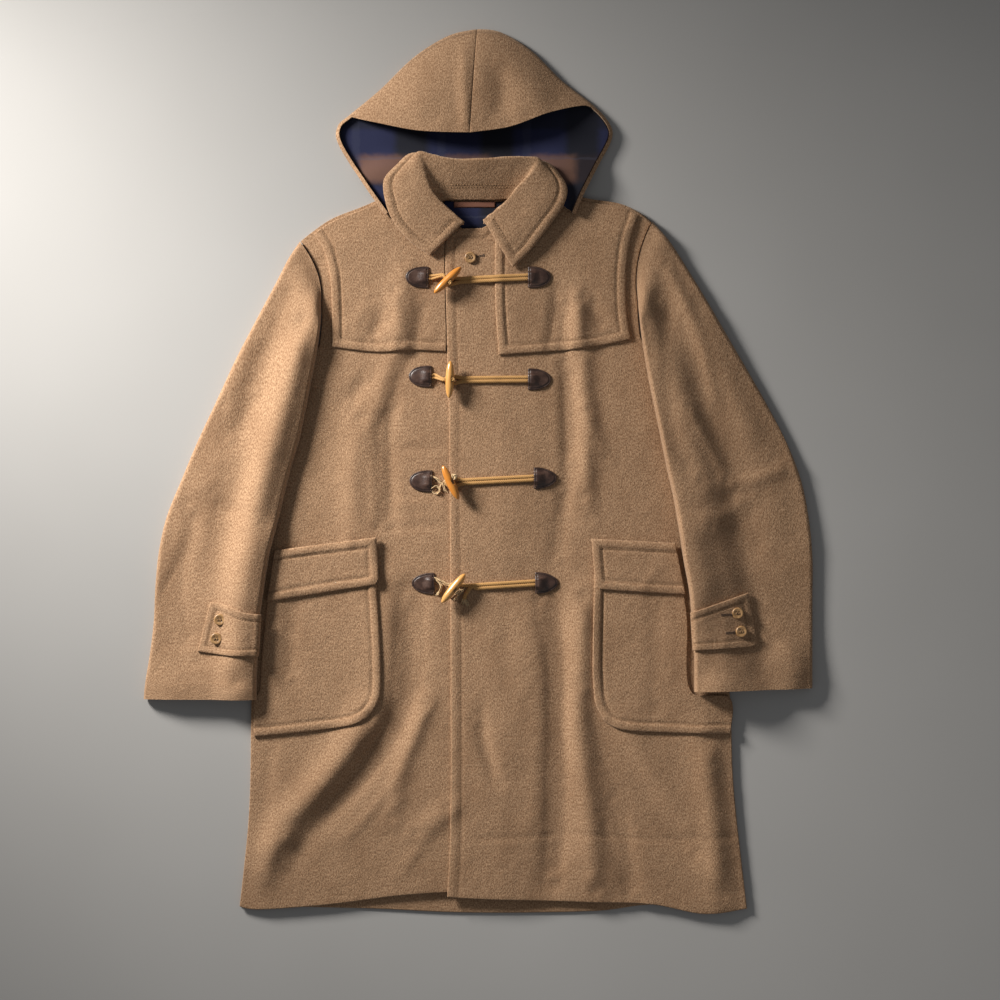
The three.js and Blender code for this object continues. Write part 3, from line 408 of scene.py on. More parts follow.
# %% Creases of the upper surface
DRAPE = [
    ([(-129, -164), (-128, -288), (-155, -357), (-197, -420), (-246, -475), (-299, -540)], 27, 3.8),
    ([(-97, -178), (-97, -288), (-122, -357), (-161, -420), (-212, -482), (-267, -544)], 16, -2.0),
    ([(-67, -316), (-92, -378), (-125, -440), (-184, -509)], 8, 1.3),
    ([(-92, 270), (-106, 181), (-136, 98), (-139, -81)], 15, 2.3),
    ([(-74, 236), (-88, 167), (-115, 98), (-119, -68)], 10, -1.2),
    ([(-216, 288), (-222, 167), (-246, 43), (-267, -95), (-290, -233), (-299, -316)], 26, 2.8),
    ([(107, -178), (112, -316), (112, -495), (104, -564)], 14, -1.9),
    ([(82, -178), (85, -316), (79, -495)], 16, 1.6),
    ([(146, -178), (148, -316), (146, -551)], 16, 1.9),
    ([(118, 222), (121, 98), (121, -68)], 9, -1.5),
    ([(143, 236), (146, 98), (154, -68)], 12, 1.7),
    ([(173, -337), (206, -399), (250, -468), (306, -537)], 11, -1.7),
    ([(202, -344), (244, -420), (299, -502)], 13, 1.3),
    ([(168, -475), (188, -523), (206, -578)], 9, -1.3),
    ([(306, -364), (317, -454), (326, -578)], 24, 2.6),
    ([(5, -316), (8, -371), (26, -433)], 8, -1.2),
    ([(35, -178), (38, -316)], 12, -0.9),
    ([(66, -178), (68, -316)], 14, 1.0),
    ([(-23, -454), (-67, -502), (-108, -551)], 9, 1.1),
    ([(-108, 32), (-46, 29)], 7, -1.0),
    ([(-115, -47), (-46, -40)], 7, 0.9),
    ([(-108, -79), (-46, -73)], 7, -1.0),
    ([(-101, 288), (-111, 236), (-125, 174)], 14, 1.8),
    ([(-147, 236), (-175, 195)], 10, 1.2),
    ([(107, 264), (101, 174)], 9, -1.4),
    ([(137, 257), (135, 174)], 9, 1.4),
    ([(244, -178), (245, -344)], 12, -1.0),
    ([(250, -125), (223, -164)], 7, 0.9),
    ([(-257, -178), (-260, -288)], 12, -1.3),
    ([(-60, 190), (-52, 130), (-60, 80)], 14, -1.0),
    ([(0, -506), (80, -503), (130, -499), (213, -506), (270, -508), (355, -503)], 3.5, -0.8),
]


def drape(x, y):
    """The relief that only the upper skins have. It dies away round the toggles, whose place is fixed."""
    clear = np.minimum.reduce([np.hypot(x - row[2][0], y - row[2][1]) for row in FASTENINGS])
    return np.clip(fold_height(DRAPE, x, y), -1.9, 4.5) * smoothstep(clear, 24, 60)


# %% Heights
def armhole(rows):
    """The edge of a body panel round a sleeve's head: the head's own bow, a gap further in."""
    side = np.sign(rows[0][2] - rows[0][0])
    share = np.linspace(0, 1, 9)[:, None]
    outer, inner = np.array(rows[0][0:2]), np.array(rows[0][2:4])
    head = outer + share * (inner - outer)
    head[:, 0] += side * (4 * HEAD_BOW * (share * (1 - share))[:, 0] + ARMHOLE_GAP)
    below = [(row[2] + side * ARMHOLE_GAP, row[3]) for row in rows[1:3]]
    return np.vstack([head, below])


def body_side(seam, sleeve, shoulder):
    """A body panel's side from the hem up: the side seam, the armhole and the shoulder's end."""
    hole = armhole(sleeve)
    return joined(seam[::-1], [*hole[::-1]], [hole[0], shoulder])


RIGHT_SIDE = body_side(SIDE_RIGHT, SLEEVE_RIGHT, SHOULDER_RIGHT[0])
LEFT_SIDE = body_side(SIDE_LEFT, SLEEVE_LEFT, SHOULDER_LEFT[-1])
SEAMS = [RIGHT_SIDE, LEFT_SIDE, curve(SHOULDER_RIGHT), curve(SHOULDER_LEFT)]


def air_under(x, y):
    """Air under the fronts: an even share plus the folds, sinking to nothing over the last stretch to a
    seam."""
    edge = np.minimum.reduce([away_from(seam, x, y) for seam in SEAMS])
    wave = 0.7 * uneven(x, y, 90, 1) + 0.35 * uneven(x, y, 41, 2)
    return np.maximum(0, BODY_AIR + wave + fold_height(BODY_FOLDS, x, y)) * smoothstep(edge, 0, EASE_WIDTH)


def right_low(x, y):
    """The right front's underside."""
    return LAYER + air_under(x, y)


def left_low(x, y):
    """The left front's underside: one layer higher where it laps over the right front."""
    return right_low(x, y) + LAYER * np.clip((LAP_FAR - x) / (LAP_FAR - LAP_NEAR), 0, 1)


# %% Panels with four sides
FRONT_RIGHT = {
    "left": RIGHT_SIDE,
    "bottom": joined(HEM_RIGHT, [(-44, -580), (UNDERLAP, -582)]),
    "right": curve([(UNDERLAP, -582), (UNDERLAP, 328)]),
    "top": joined(SHOULDER_RIGHT, NECK_RIGHT, [(-23, 334), (UNDERLAP, 328)]),
}
FRONT_LEFT = {
    "left": joined(FRONT_EDGE[::-1], [(-43, 324), (-41, 333)]),
    "bottom": curve(HEM_LEFT),
    "right": LEFT_SIDE,
    "top": joined([(-41, 333), (5, 334)], NECK_LEFT, SHOULDER_LEFT),
}
BACK = {
    "left": RIGHT_SIDE,
    "bottom": curve(HEM_BACK),
    "right": LEFT_SIDE,
    "top": joined(SHOULDER_RIGHT, NECK_BACK, SHOULDER_LEFT),
}


def smooth_sides(sides):
    """The four sides of a small panel as fine polylines."""
    return {name: curve(run, 2.5) for name, run in sides.items()}


def outline_of(sides):
    """The closed outline of a panel: bottom, right, top backwards and left backwards."""
    return np.vstack([sides["bottom"], sides["right"][1:], sides["top"][::-1][1:], sides["left"][::-1][1:-1]])


PANELS = {
    "front_right": (FRONT_RIGHT, right_low, 0),
    "front_left": (FRONT_LEFT, left_low, 0),
    "yoke_right": (smooth_sides(YOKE_RIGHT), right_low, 1),
    "yoke_left": (smooth_sides(YOKE_LEFT), left_low, 1),
    "pocket_right": (smooth_sides(POCKET_RIGHT), right_low, 1),
    "pocket_left": (smooth_sides(POCKET_LEFT), left_low, 1),
    "flap_right": (smooth_sides(FLAP_RIGHT), right_low, 2),
    "flap_left": (smooth_sides(FLAP_LEFT), left_low, 2),
}


def body_top(x, y):
    """The top of the body at each place, over every panel that covers it."""
    x, y = np.asarray(x, float), np.asarray(y, float)
    top = np.where(inside(outline_of(BACK), x, y), CLOTH, 0.0)
    for sides, low, layers in PANELS.values():
        covered = inside(outline_of(sides), x, y)
        top[covered] = np.maximum(top[covered], low(x[covered], y[covered]) + layers * LAYER + CLOTH)
    return top


# %% [markdown]
# ## What lies on the body
# A sleeve or the hood rests on the highest cloth below it and bridges the step at an edge. On a map of
# heights this is the highest value near each place, sinking further away, and the map is then softened
# a little.

# %% Maps of support
MAP_STEP = 6.0
map_x, map_y = np.meshgrid(np.arange(-504, 505, MAP_STEP), np.arange(-660, 661, MAP_STEP))
BODY_MAP = body_top(map_x, map_y)


def support(reach, slope, span):
    """The highest of the map within reach of each place, less slope for each millimetre beyond it."""
    n = int(span // MAP_STEP)
    rows, columns = BODY_MAP.shape
    wide = np.pad(BODY_MAP, n, mode="edge")
    best = BODY_MAP.copy()
    for i in range(-n, n + 1):
        for j in range(-n, n + 1):
            drop = slope * max(0.0, math.hypot(i, j) * MAP_STEP - reach)
            best = np.maximum(best, wide[n + j : n + j + rows, n + i : n + i + columns] - drop)
    for _ in range(2):
        wide = np.pad(best, 1, mode="edge")
        best = sum(wide[a : a + rows, b : b + columns] for a in range(3) for b in range(3)) / 9
    return best


def read_map(heights, x, y):
    """A map's value at any place, blended between its four nearest points."""
    u = np.clip((x - map_x[0, 0]) / MAP_STEP, 0, heights.shape[1] - 1.001)
    v = np.clip((y - map_y[0, 0]) / MAP_STEP, 0, heights.shape[0] - 1.001)
    i, j = u.astype(int), v.astype(int)
    a, b = u - i, v - j
    low = heights[j, i] * (1 - a) + heights[j, i + 1] * a
    high = heights[j + 1, i] * (1 - a) + heights[j + 1, i + 1] * a
    return low * (1 - b) + high * b


SLEEVE_SUPPORT = support(24, 0.3, 60)
HOOD_SUPPORT = support(39, 0.5, 70)
print("highest body:", round(float(BODY_MAP.max()), 1), "mm")


# %% [markdown]
# ## From grids to meshes
# A wall of cloth has an upper and a lower skin. Both are grids with the same layout, and they share the
# points of their border, so the mesh is closed. The grids have extra rows close to each edge, where the
# thickness falls off as a quarter circle: that gives the soft round edge of thick cloth.

# %% Wall meshes
RIM = 1.6
RIM_SHARES = np.array([0, 0.04, 0.15, 0.36, 0.66])


def round_edge(distance, radius):
    """The height share of a round edge: a quarter circle over the first radius, then 1."""
    return np.sqrt(np.clip(1 - (1 - np.clip(distance / radius, 0, 1)) ** 2, 0, 1))


def shares(length, cell, first=True, last=True):
    """Shares of the way across a length, in even cells, closing up at the ends that have a round edge."""
    near = RIM_SHARES * RIM / length
    low, high = (RIM / length if first else 0.0), (1 - RIM / length if last else 1.0)
    middle = np.linspace(low, high, max(2, math.ceil((high - low) * length / cell) + 1))
    return np.concatenate([near if first else [], middle, 1 - near[::-1] if last else []])


def between(sides, cell):
    """A grid of places between four sides (a Coons patch): the blend of the left and right sides plus
    the blend of the bottom and top ones, less the blend of the four corners. It also gives the rim's
    share of thickness."""
    wide = max(length_of(sides["bottom"]), length_of(sides["top"]))
    high = max(length_of(sides["left"]), length_of(sides["right"]))
    u, v = shares(wide, cell), shares(high, cell)
    bottom, top = spaced(sides["bottom"], u)[None], spaced(sides["top"], u)[None]
    left, right = spaced(sides["left"], v)[:, None], spaced(sides["right"], v)[:, None]
    a, b = u[None, :, None], v[:, None, None]
    below, above = (line[:, :1] * (1 - a) + line[:, -1:] * a for line in (bottom, top))
    places = left * (1 - a) + right * a + bottom * (1 - b) + top * b - (below * (1 - b) + above * b)
    edge = np.minimum(np.minimum(u, 1 - u)[None] * wide, np.minimum(v, 1 - v)[:, None] * high)
    fullness = round_edge(edge, RIM)
    return places[..., 0], places[..., 1], fullness


def mesh_from(name, points, quads, uv=None, values=None):
    """A smooth mesh from points in millimetres and quads, with a UV for each corner and a value for
    each point."""
    mesh = bpy.data.meshes.new(name)
    mesh.vertices.add(len(points))
    mesh.vertices.foreach_set("co", (np.asarray(points, float) * MM).ravel())
    mesh.loops.add(quads.size)
    mesh.loops.foreach_set("vertex_index", quads.ravel().astype(np.int32))
    mesh.polygons.add(len(quads))
    mesh.polygons.foreach_set("loop_start", np.arange(0, quads.size, 4, dtype=np.int32))
    mesh.update(calc_edges=True)
    if uv is not None:
        layer = mesh.uv_layers.new(name="cloth")
        layer.data.foreach_set("uv", (np.asarray(uv, float) * MM).ravel())
    if values is not None:
        shade = mesh.attributes.new("shade", "FLOAT", "POINT")
        shade.data.foreach_set("value", np.asarray(values, np.float32).ravel())
    mesh.polygons.foreach_set("use_smooth", np.ones(len(quads), bool))
    mesh.update()
    return mesh


def quads_of(index):
    """The quads of a grid of vertex numbers, turning left as seen from the side that faces out."""
    return np.stack([index[:-1, :-1], index[:-1, 1:], index[1:, 1:], index[1:, :-1]], axis=-1).reshape(-1, 4)


def volume_of(points, quads):
    """The volume that a closed mesh holds, negative if its faces point inwards."""
    a, b, c, d = (points[quads[:, k]] for k in range(4))
    return (np.einsum("ij,ij->i", a, np.cross(b, c)) + np.einsum("ij,ij->i", a, np.cross(c, d))).sum() / 6


def wall(name, upper, lower, uv, shade, closed=False):
    """A closed wall: the upper grid and the turned lower one, sharing the border's points. Where closed
    is true each row of the grids is a ring, and uv has one more column than they have."""
    rows, columns = upper.shape[:2]
    border = np.zeros((rows, columns), bool)
    border[[0, -1]] = True
    if not closed:
        border[:, [0, -1]] = True
    above = np.arange(rows * columns).reshape(rows, columns)
    below = above.copy()
    below[~border] = rows * columns + np.arange((~border).sum())
    joint = np.where(border[..., None], (upper + lower) / 2, upper)
    points = np.vstack([joint.reshape(-1, 3), lower[~border]])
    if closed:
        above, below = np.hstack([above, above[:, :1]]), np.hstack([below, below[:, :1]])
    corners = quads_of(np.arange(above.size).reshape(above.shape))
    flat_uv = uv.reshape(-1, 2)
    quads = np.vstack([above.ravel()[corners], below.ravel()[corners][:, ::-1]])
    corner_uv = np.vstack([flat_uv[corners], flat_uv[corners][:, ::-1]])
    if volume_of(points, quads) < 0:
        quads, corner_uv = quads[:, ::-1], corner_uv[:, ::-1]
    values = np.concatenate([shade.ravel(), shade[~border]])
    return mesh_from(name, points, quads, corner_uv, values)


def layered(name, x, y, full, bottom, top, shade, middle=None, uv=None):
    """A wall between two heights over a grid of places. Towards the rim both skins close on the middle."""
    middle = (top + bottom) / 2 if middle is None else middle
    upper, lower = (np.stack([x, y, middle + (z - middle) * full], axis=-1) for z in (top, bottom))
    return wall(name, upper, lower, np.stack(uv or (x, y), axis=-1), shade)


PIECES = {}


def piece(mesh, material, slot, *nodes):
    """A finished piece: an object for the mesh, which takes the place of its nodes in the frame."""
    thing = bpy.data.objects.new(mesh.name, mesh)
    bpy.context.scene.collection.objects.link(thing)
    mesh.materials.append(material)
    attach(thing, "root")
    if nodes:
        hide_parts(*nodes)
    PIECES[mesh.name] = thing
    return thing


# %% [markdown]
# ## Shader maths as Python
# A material is a small program. Wrapping a socket in a class with + and * lets it be written as one:
# each expression adds its Math node. Colours go through Mix nodes, because a Math node would turn them
# grey.

# %% Sockets and materials
class Value:
    """One output of a node tree that can be used in expressions."""

    def __init__(self, finish, socket):
        self.finish = finish
        self.socket = socket

    def math(self, operation, *others):
        node = self.finish.tree.nodes.new("ShaderNodeMath")
        node.operation = operation
        for socket, given in zip(node.inputs, (self, *others)):
            self.finish.put(socket, given)
        return Value(self.finish, node.outputs[0])

    def __add__(self, other):
        return self.math("ADD", other)

    def __mul__(self, other):
        return self.math("MULTIPLY", other)

    def __sub__(self, other):
        return self.math("SUBTRACT", other)

    def __rsub__(self, other):
        return (self * -1.0) + other

    __radd__ = __add__
    __rmul__ = __mul__

    def ramp(self, low, high):
        """0 at low, 1 at high, smooth between them."""
        settings = {"interpolation_type": "SMOOTHSTEP"}
        return self.finish.node("ShaderNodeMapRange", settings, {0: self, 1: low, 2: high})


class Finish:
    """A material and the nodes that make it."""

    def __init__(self, name, **constants):
        self.material = bpy.data.materials.new(name)
        self.material.use_nodes = True
        self.tree = self.material.node_tree
        self.shader = self.tree.nodes["Principled BSDF"]
        for key, value in constants.items():
            self.shader.inputs[key.replace("_", " ")].default_value = value

    def put(self, socket, given):
        """Links a Value to a socket, or sets a plain number or colour on it."""
        if isinstance(given, Value):
            self.tree.links.new(given.socket, socket)
        else:
            socket.default_value = given

    def node(self, kind, settings, inputs, output=0):
        """A node of one kind, with its settings made first and then its inputs, by name or number."""
        node = self.tree.nodes.new(kind)
        for key, value in settings.items():
            setattr(node, key, value)
        for key, given in inputs.items():
            self.put(node.inputs[key], given)
        return Value(self, node.outputs[output])

    def uv(self, across=1.0, along=1.0):
        """The piece's own cloth coordinates in metres, stretched to a pattern's size."""
        flat = self.node("ShaderNodeUVMap", {"uv_map": "cloth"}, {})
        return self.node("ShaderNodeMapping", {}, {0: flat, "Scale": (across, along, 1)})

    def place(self, scale=(1, 1, 1)):
        """Object coordinates in metres."""
        spot = self.node("ShaderNodeTexCoord", {}, {}, "Object")
        return self.node("ShaderNodeMapping", {}, {0: spot, "Scale": scale})

    def noise(self, where, scale, detail=3.0, roughness=0.55):
        inputs = {"Vector": where, "Scale": scale, "Detail": detail, "Roughness": roughness}
        return self.node("ShaderNodeTexNoise", {}, inputs)

    def shade(self):
        """The painted shade that a piece's grid gives to each point: 0 on open cloth, 1 deep in a seam."""
        return self.node("ShaderNodeAttribute", {"attribute_name": "shade"}, {}, "Fac")

    def mix(self, share, first, second):
        """first where share is 0, second where it is 1."""
        node = self.tree.nodes.new("ShaderNodeMix")
        node.data_type = "RGBA"
        self.put(node.inputs["Factor"], share)
        for socket, given in ((node.inputs[6], first), (node.inputs[7], second)):
            self.put(socket, given if isinstance(given, Value) else (*given, 1.0))
        return Value(self, node.outputs[2])

    def paint(self, color, roughness=None, height=None, strength=0.5, distance=0.001):
        """Links the colour, the roughness and a bump from a height to the shader."""
        self.put(self.shader.inputs["Base Color"], color)
        if roughness is not None:
            self.put(self.shader.inputs["Roughness"], roughness)
        if height is not None:
            inputs = {"Strength": strength, "Distance": distance, "Height": height}
            self.put(self.shader.inputs["Normal"], self.node("ShaderNodeBump", {}, inputs))
        return self.material


# %% [markdown]
# ## Wool
# Melton is woven, then felted until the weave is hidden under a short nap that lies down the cloth.
# Fibres of several browns are mixed, so close up it is streaked and from a step away it is softly
# mottled. Long thin noise along the cloth gives the streaks, round noise gives the mottling, and both
# also raise the surface.

# %% Wool material
CAMEL = (0.352, 0.200, 0.107)
CAMEL_LIGHT = (0.560, 0.360, 0.215)
CAMEL_DARK = (0.190, 0.098, 0.047)


def make_wool():
    finish = Finish("camel_wool", Roughness=0.92, Sheen_Weight=0.3, Sheen_Roughness=0.45)
    finish.shader.inputs["Sheen Tint"].default_value = (1.0, 0.88, 0.74, 1)
    finish.shader.inputs["Specular IOR Level"].default_value = 0.2
    fibres = finish.noise(finish.uv(1500, 520), 1.0, 4.0, 0.7)
    tufts = finish.noise(finish.uv(560, 330), 1.0, 3.0, 0.6)
    mottle = finish.noise(finish.uv(110, 90), 1.0, 3.0, 0.6)
    clouds = finish.noise(finish.uv(21, 15), 1.0, 3.0, 0.55)
    grain = fibres * 0.5 + tufts * 0.5
    color = finish.mix(grain.ramp(0.39, 0.61), CAMEL_DARK, CAMEL_LIGHT)
    color = finish.mix(0.18, color, CAMEL)
    color = finish.mix(mottle.ramp(0.3, 0.7) * 0.16, color, CAMEL_DARK)
    color = finish.mix(clouds.ramp(0.42, 0.72) * 0.26, color, CAMEL_DARK)
    # Painted shade: the wool is darker in the dips along the stitches, at the round rims and along the hood's
    # centre seam
    color = finish.mix(finish.shade() * 0.8, color, (0.09, 0.044, 0.019))
    height = fibres * 0.4 + tufts * 0.6 + mottle * 0.7
    return finish.paint(color, None, height, 0.75, 0.0014)


WOOL = make_wool()

# %% [markdown]
# ## The panels
# Each cloth panel is one wall between its four sides. Where the real panel is topstitched, the cloth
# puffs up between the edge and the stitches and dips along them. The same height function that makes
# the surface later tells the stitches how deep to lie.

# %% Panels
WELT = 13.0
CELL = 4.1
SMALL_CELL = 2.4
# Painted shade where the cloth rounds off at its rims
RIM_SHADE = 0.25


def welt(distance, width=WELT, puff=1.1, groove=1.15):
    """The rise of a stitched edge: a parabola between the edge and the stitches, and a narrow dip along
    them."""
    share = np.clip(distance / width, 0, 1)
    return puff * 4 * share * (1 - share) - groove * np.exp(-(((distance - width) / 1.7) ** 2))


def seam_shade(distance, width=WELT):
    """The painted shade of the cloth in the dip along the stitches."""
    return 0.55 * np.exp(-(((distance - width) / 1.2) ** 2))


def nearest(lines, x, y):
    """The distance to the nearest of some lines, or far away if there are none."""
    return np.minimum.reduce([np.full(np.shape(x), 1e3), *(away_from(line, x, y) for line in lines)])


def pile(x, y):
    """The fine unevenness of thick felted cloth."""
    return 0.16 * uneven(x, y, 13, 3) + 0.10 * uneven(x, y, 6.5, 4)


STITCHED = {
    "front_right": [],
    "front_left": [FRONT_LEFT["left"], curve([(-41, 333), (5, 334)])],
    "yoke_right": [PANELS["yoke_right"][0][side] for side in ("left", "bottom")],
    "yoke_left": [PANELS["yoke_left"][0][side] for side in ("left", "bottom", "right")],
    "pocket_right": [PANELS["pocket_right"][0][side] for side in ("right", "bottom")],
    "pocket_left": [PANELS["pocket_left"][0][side] for side in ("left", "bottom")],
    "flap_right": [PANELS["flap_right"][0][side] for side in ("top", "right", "bottom")],
    "flap_left": [PANELS["flap_left"][0][side] for side in ("top", "left", "bottom")],
}


WELTS = {"front_left": (0.35, 0.8), "yoke_right": (0.9, 1.1), "yoke_left": (0.9, 1.1)}


def panel_top(name, x, y):
    """The upper surface of a panel: its layers, plus the welts at its stitched edges, plus the pile."""
    sides, low, layers = PANELS[name]
    relief = welt(nearest(STITCHED[name], x, y), WELT, *WELTS.get(name, (1.1, 1.15)))
    return low(x, y) + layers * LAYER + CLOTH + drape(x, y) + relief + pile(x, y)


def make_panel(name, cell):
    """A body panel as a wall over its Coons patch."""
    sides, low, layers = PANELS[name]
    x, y, full = between(sides, cell)
    # Painted shade in the dip along the stitches and at the round rim
    shade = seam_shade(nearest(STITCHED[name], x, y)) + RIM_SHADE * (1 - full)
    mesh = layered(name + "_cloth", x, y, full, low(x, y) + layers * LAYER, panel_top(name, x, y), shade)
    return piece(mesh, WOOL, "wool", name)


for panel_name in PANELS:
    make_panel(panel_name, CELL if panel_name.startswith("front") else SMALL_CELL)

# %% [markdown]
# ## The back
# Only its hem shows, below the fronts, and the inside of its neck. It is flat on the floor, as the
# solid is.

# %% Back
BACK_CELL = 15.0


def make_back():
    x, y, full = between(BACK, BACK_CELL)
    # Painted shade at the round rim
    mesh = layered("back_cloth", x, y, full, 0.0, CLOTH, RIM_SHADE * (1 - full))
    return piece(mesh, WOOL, "wool", "back")


make_back()

# %% [markdown]
# ## Sleeves
# A sleeve is a tube pressed flat. At each station along it a ring runs across the lower layer, round
# the fold beside the body, back across the upper layer and round the outer fold. The ring's points are
# given by a share across and an angle, so the flats and the folds share one formula.

# %% Sleeve rings
SLEEVE_HALF = SLEEVE_WALL + SLEEVE_AIR / 2
SLEEVE_FOLDS = {
    "right": [
        ([(-240, 205), (-272, 70), (-302, -60), (-326, -180), (-330, -290)], 26, 9.0),
        ([(-305, 112), (-322, 70), (-340, 42)], 14, -3.0),
        ([(-392, -50), (-398, -100), (-436, -200)], 13, -3.2),
        ([(-362, -36), (-350, -50), (-330, -60)], 12, -2.6),
        ([(-425, -175), (-410, -220), (-392, -250)], 20, -3.0),
        ([(-300, 200), (-320, 150), (-352, 90)], 15, 2.2),
    ],
    "left": [
        ([(236, 205), (262, 40), (290, -120), (308, -280)], 46, 8.0),
        ([(330, 280), (410, 90), (436, -60), (430, -280)], 40, -2.4),
        ([(258, 285), (302, 185), (326, 88)], 9, 2.4),
        ([(287, 88), (326, 18), (342, -14)], 9, 2.8),
        ([(252, 232), (266, 60), (298, -10)], 14, -3.6),
        ([(428, 6), (380, -12), (338, -18)], 10, 2.8),
        ([(372, -30), (352, -52), (318, -76)], 12, 2.4),
        ([(310, -60), (350, -90), (400, -110)], 22, -3.0),
        ([(306, 236), (354, 100), (388, 30)], 20, 2.6),
        ([(404, -236), (436, -262), (452, -300)], 22, 4.0),
    ],
}


def columns_of(rows, names, t):
    """The columns of a table as smooth curves, read at the shares t of the way down it."""
    marks = curve([(i, *row) for i, row in enumerate(rows)], 0.02 * len(rows))
    place = t * (len(rows) - 1)
    return {name: np.interp(place, marks[:, 0], marks[:, k + 1]) for k, name in enumerate(names)}


def across_sleeve(u, outer, middle, inner):
    """The height of the long folds across a sleeve: one bell each at its outer, middle and inner part."""
    bell = lambda at: np.exp(-(((u - at) / 0.17) ** 2))
    return outer * bell(0.24) + middle * bell(0.5) + inner * bell(0.78)


def sleeve_rings(rows, folds, inwards, t, u, angle):
    """The rings of one skin of a sleeve, inwards of its outer skin: place across = half + u * span +
    radius * cos(angle), height = half + radius * sin(angle), plus what it rests on and the folds of
    the upper layer."""
    table = {name: column[:, None] for name, column in columns_of(rows, SLEEVE_COLUMNS, t).items()}
    t = t[:, None]
    step_x, step_y = table["inner_x"] - table["outer_x"], table["inner_y"] - table["outer_y"]
    width = np.hypot(step_x, step_y)
    radius = SLEEVE_HALF - inwards
    along = SLEEVE_HALF + u * (width - 2 * SLEEVE_HALF) + radius * np.cos(angle)
    share = along / width
    bow = np.sign(step_x) * (1 - smoothstep(t, 0, 0.2)) * HEAD_BOW * 4 * share * (1 - share)
    x = table["outer_x"] + share * step_x + bow
    y = table["outer_y"] + share * step_y
    free = smoothstep(t, 0, 0.1)
    flat = np.clip(along, SLEEVE_HALF, width - SLEEVE_HALF) / width
    seat = free * read_map(SLEEVE_SUPPORT, table["outer_x"] + flat * step_x, table["outer_y"] + flat * step_y)
    gape = CUFF_GAPE * smoothstep(t, 0.8, 0.95) * (1 - (2 * u - 1) ** 4)
    long_folds = across_sleeve(u, table["outer"], table["middle"], table["inner"])
    creases = fold_height(folds, x, y) + 0.8 * uneven(x, y, 47, 5) + pile(x, y)
    rise = np.maximum(-SLEEVE_AIR + 0.8, (long_folds + creases) * smoothstep(t, 0, 0.08)) + gape
    upper = smoothstep(np.sin(angle), 0.2, 1.0)
    z = seat + GAP * free + SLEEVE_HALF + radius * np.sin(angle) + upper * rise
    return np.stack([x, y, z], axis=-1)


FLAT, ROUND = 40, 9
SLEEVE_CELL = 4.6
RING_U = np.concatenate([np.linspace(0, 1, FLAT), np.ones(ROUND), np.linspace(1, 0, FLAT), np.zeros(ROUND)])
half_turn = np.linspace(-np.pi / 2, np.pi / 2, ROUND + 2)[1:-1]
RING_ANGLE = np.concatenate(
    [np.full(FLAT, -np.pi / 2), half_turn, np.full(FLAT, np.pi / 2), half_turn + np.pi]
)
SLEEVE_TOPS = {}


def make_sleeve(side, rows):
    """A sleeve as a closed wall of rings, and its upper surface kept for what is sewn on it."""
    middle_line = [((row[0] + row[2]) / 2, (row[1] + row[3]) / 2) for row in rows]
    length = length_of(middle_line)
    t = shares(length, SLEEVE_CELL)
    outer = sleeve_rings(rows, SLEEVE_FOLDS[side], 0.0, t, RING_U, RING_ANGLE)
    inner = sleeve_rings(rows, SLEEVE_FOLDS[side], SLEEVE_WALL, t, RING_U, RING_ANGLE)
    around = np.linalg.norm(np.diff(np.concatenate([outer, outer[:, :1]], axis=1), axis=1), axis=-1)
    across = np.concatenate([np.zeros((len(t), 1)), np.cumsum(around, axis=1)], axis=1)
    uv = np.stack([across, np.broadcast_to(-t[:, None] * length, across.shape)], axis=-1)
    shade = np.zeros(outer.shape[:2])
    SLEEVE_TOPS[side] = outer[:, FLAT + ROUND : 2 * FLAT + ROUND].reshape(-1, 3)
    mesh = wall("sleeve_" + side + "_cloth", outer, inner, uv, shade, closed=True)
    return piece(mesh, WOOL, "wool", "sleeve_" + side)


for sleeve_side, sleeve_rows in (("right", SLEEVE_RIGHT), ("left", SLEEVE_LEFT)):
    make_sleeve(sleeve_side, sleeve_rows)

# %% [markdown]
# ## The hood
# The hood is two halves sewn along the top of the head. Laid down, it is a pouch: each half runs from
# the mouth's edge over the upper layer, round the fold and back along the floor to the neck. Beside the
# mouth the upper layer is only a narrow rim. Both skins of a half are ruled: straight lines join the
# fold to the mouth and to the neck, and the height is worked out from how far a point is from the fold.

# %% Hood
HOOD_CORNER = {"right": 4, "left": 5}
HOOD_RIM = 5.0
FOLD_ROW = 44
LINING_ROOM = LINING + 2 * GAP
FOLD_MIDDLE = CLOTH + LINING_ROOM / 2
WHOLE_FOLD = curve(HOOD_FOLD)
HOOD_HALVES = {
    "right": {
        "fold": HOOD_FOLD[: HOOD_APEX + 1],
        "mouth": [(-172, 486), (-147, 479), (-82, 465), (-12, 462)],
        "neck": [(-127, 353), (-114, 368), (-108, 400), (-60, 398), (-10, 396)],
    },
    "left": {
        "fold": HOOD_FOLD[:HOOD_APEX - 1:-1],
        "mouth": [(155, 500), (142, 502), (99, 491), (45, 471), (-12, 462)],
        "neck": [(132, 354), (114, 368), (108, 400), (60, 398), (-10, 396)],
    },
}


def moved_in(line, distance, middle=(-4, 440)):
    """A line moved sideways by a distance, each point along its own normal, towards the middle."""
    direction = np.gradient(line, axis=0)
    normal = np.stack([-direction[:, 1], direction[:, 0]], axis=-1)
    normal /= np.linalg.norm(normal, axis=1, keepdims=True)
    towards = np.sign(((np.array(middle) - line) * normal).sum(axis=1, keepdims=True))
    return line + distance * towards * normal


def hood_rise(x, y):
    """How high the upper layer stands: it climbs from the fold as 1 - exp(-distance), with its own
    folds."""
    away = away_from(WHOLE_FOLD, x, y)
    folds = fold_height(HOOD_FOLDS, x, y) + 1.1 * uneven(x, y, 60, 8) + pile(x, y)
    return np.maximum(0, HOOD_RISE * (1 - np.exp(-away / 45)) + smoothstep(away, 0, 60) * folds)


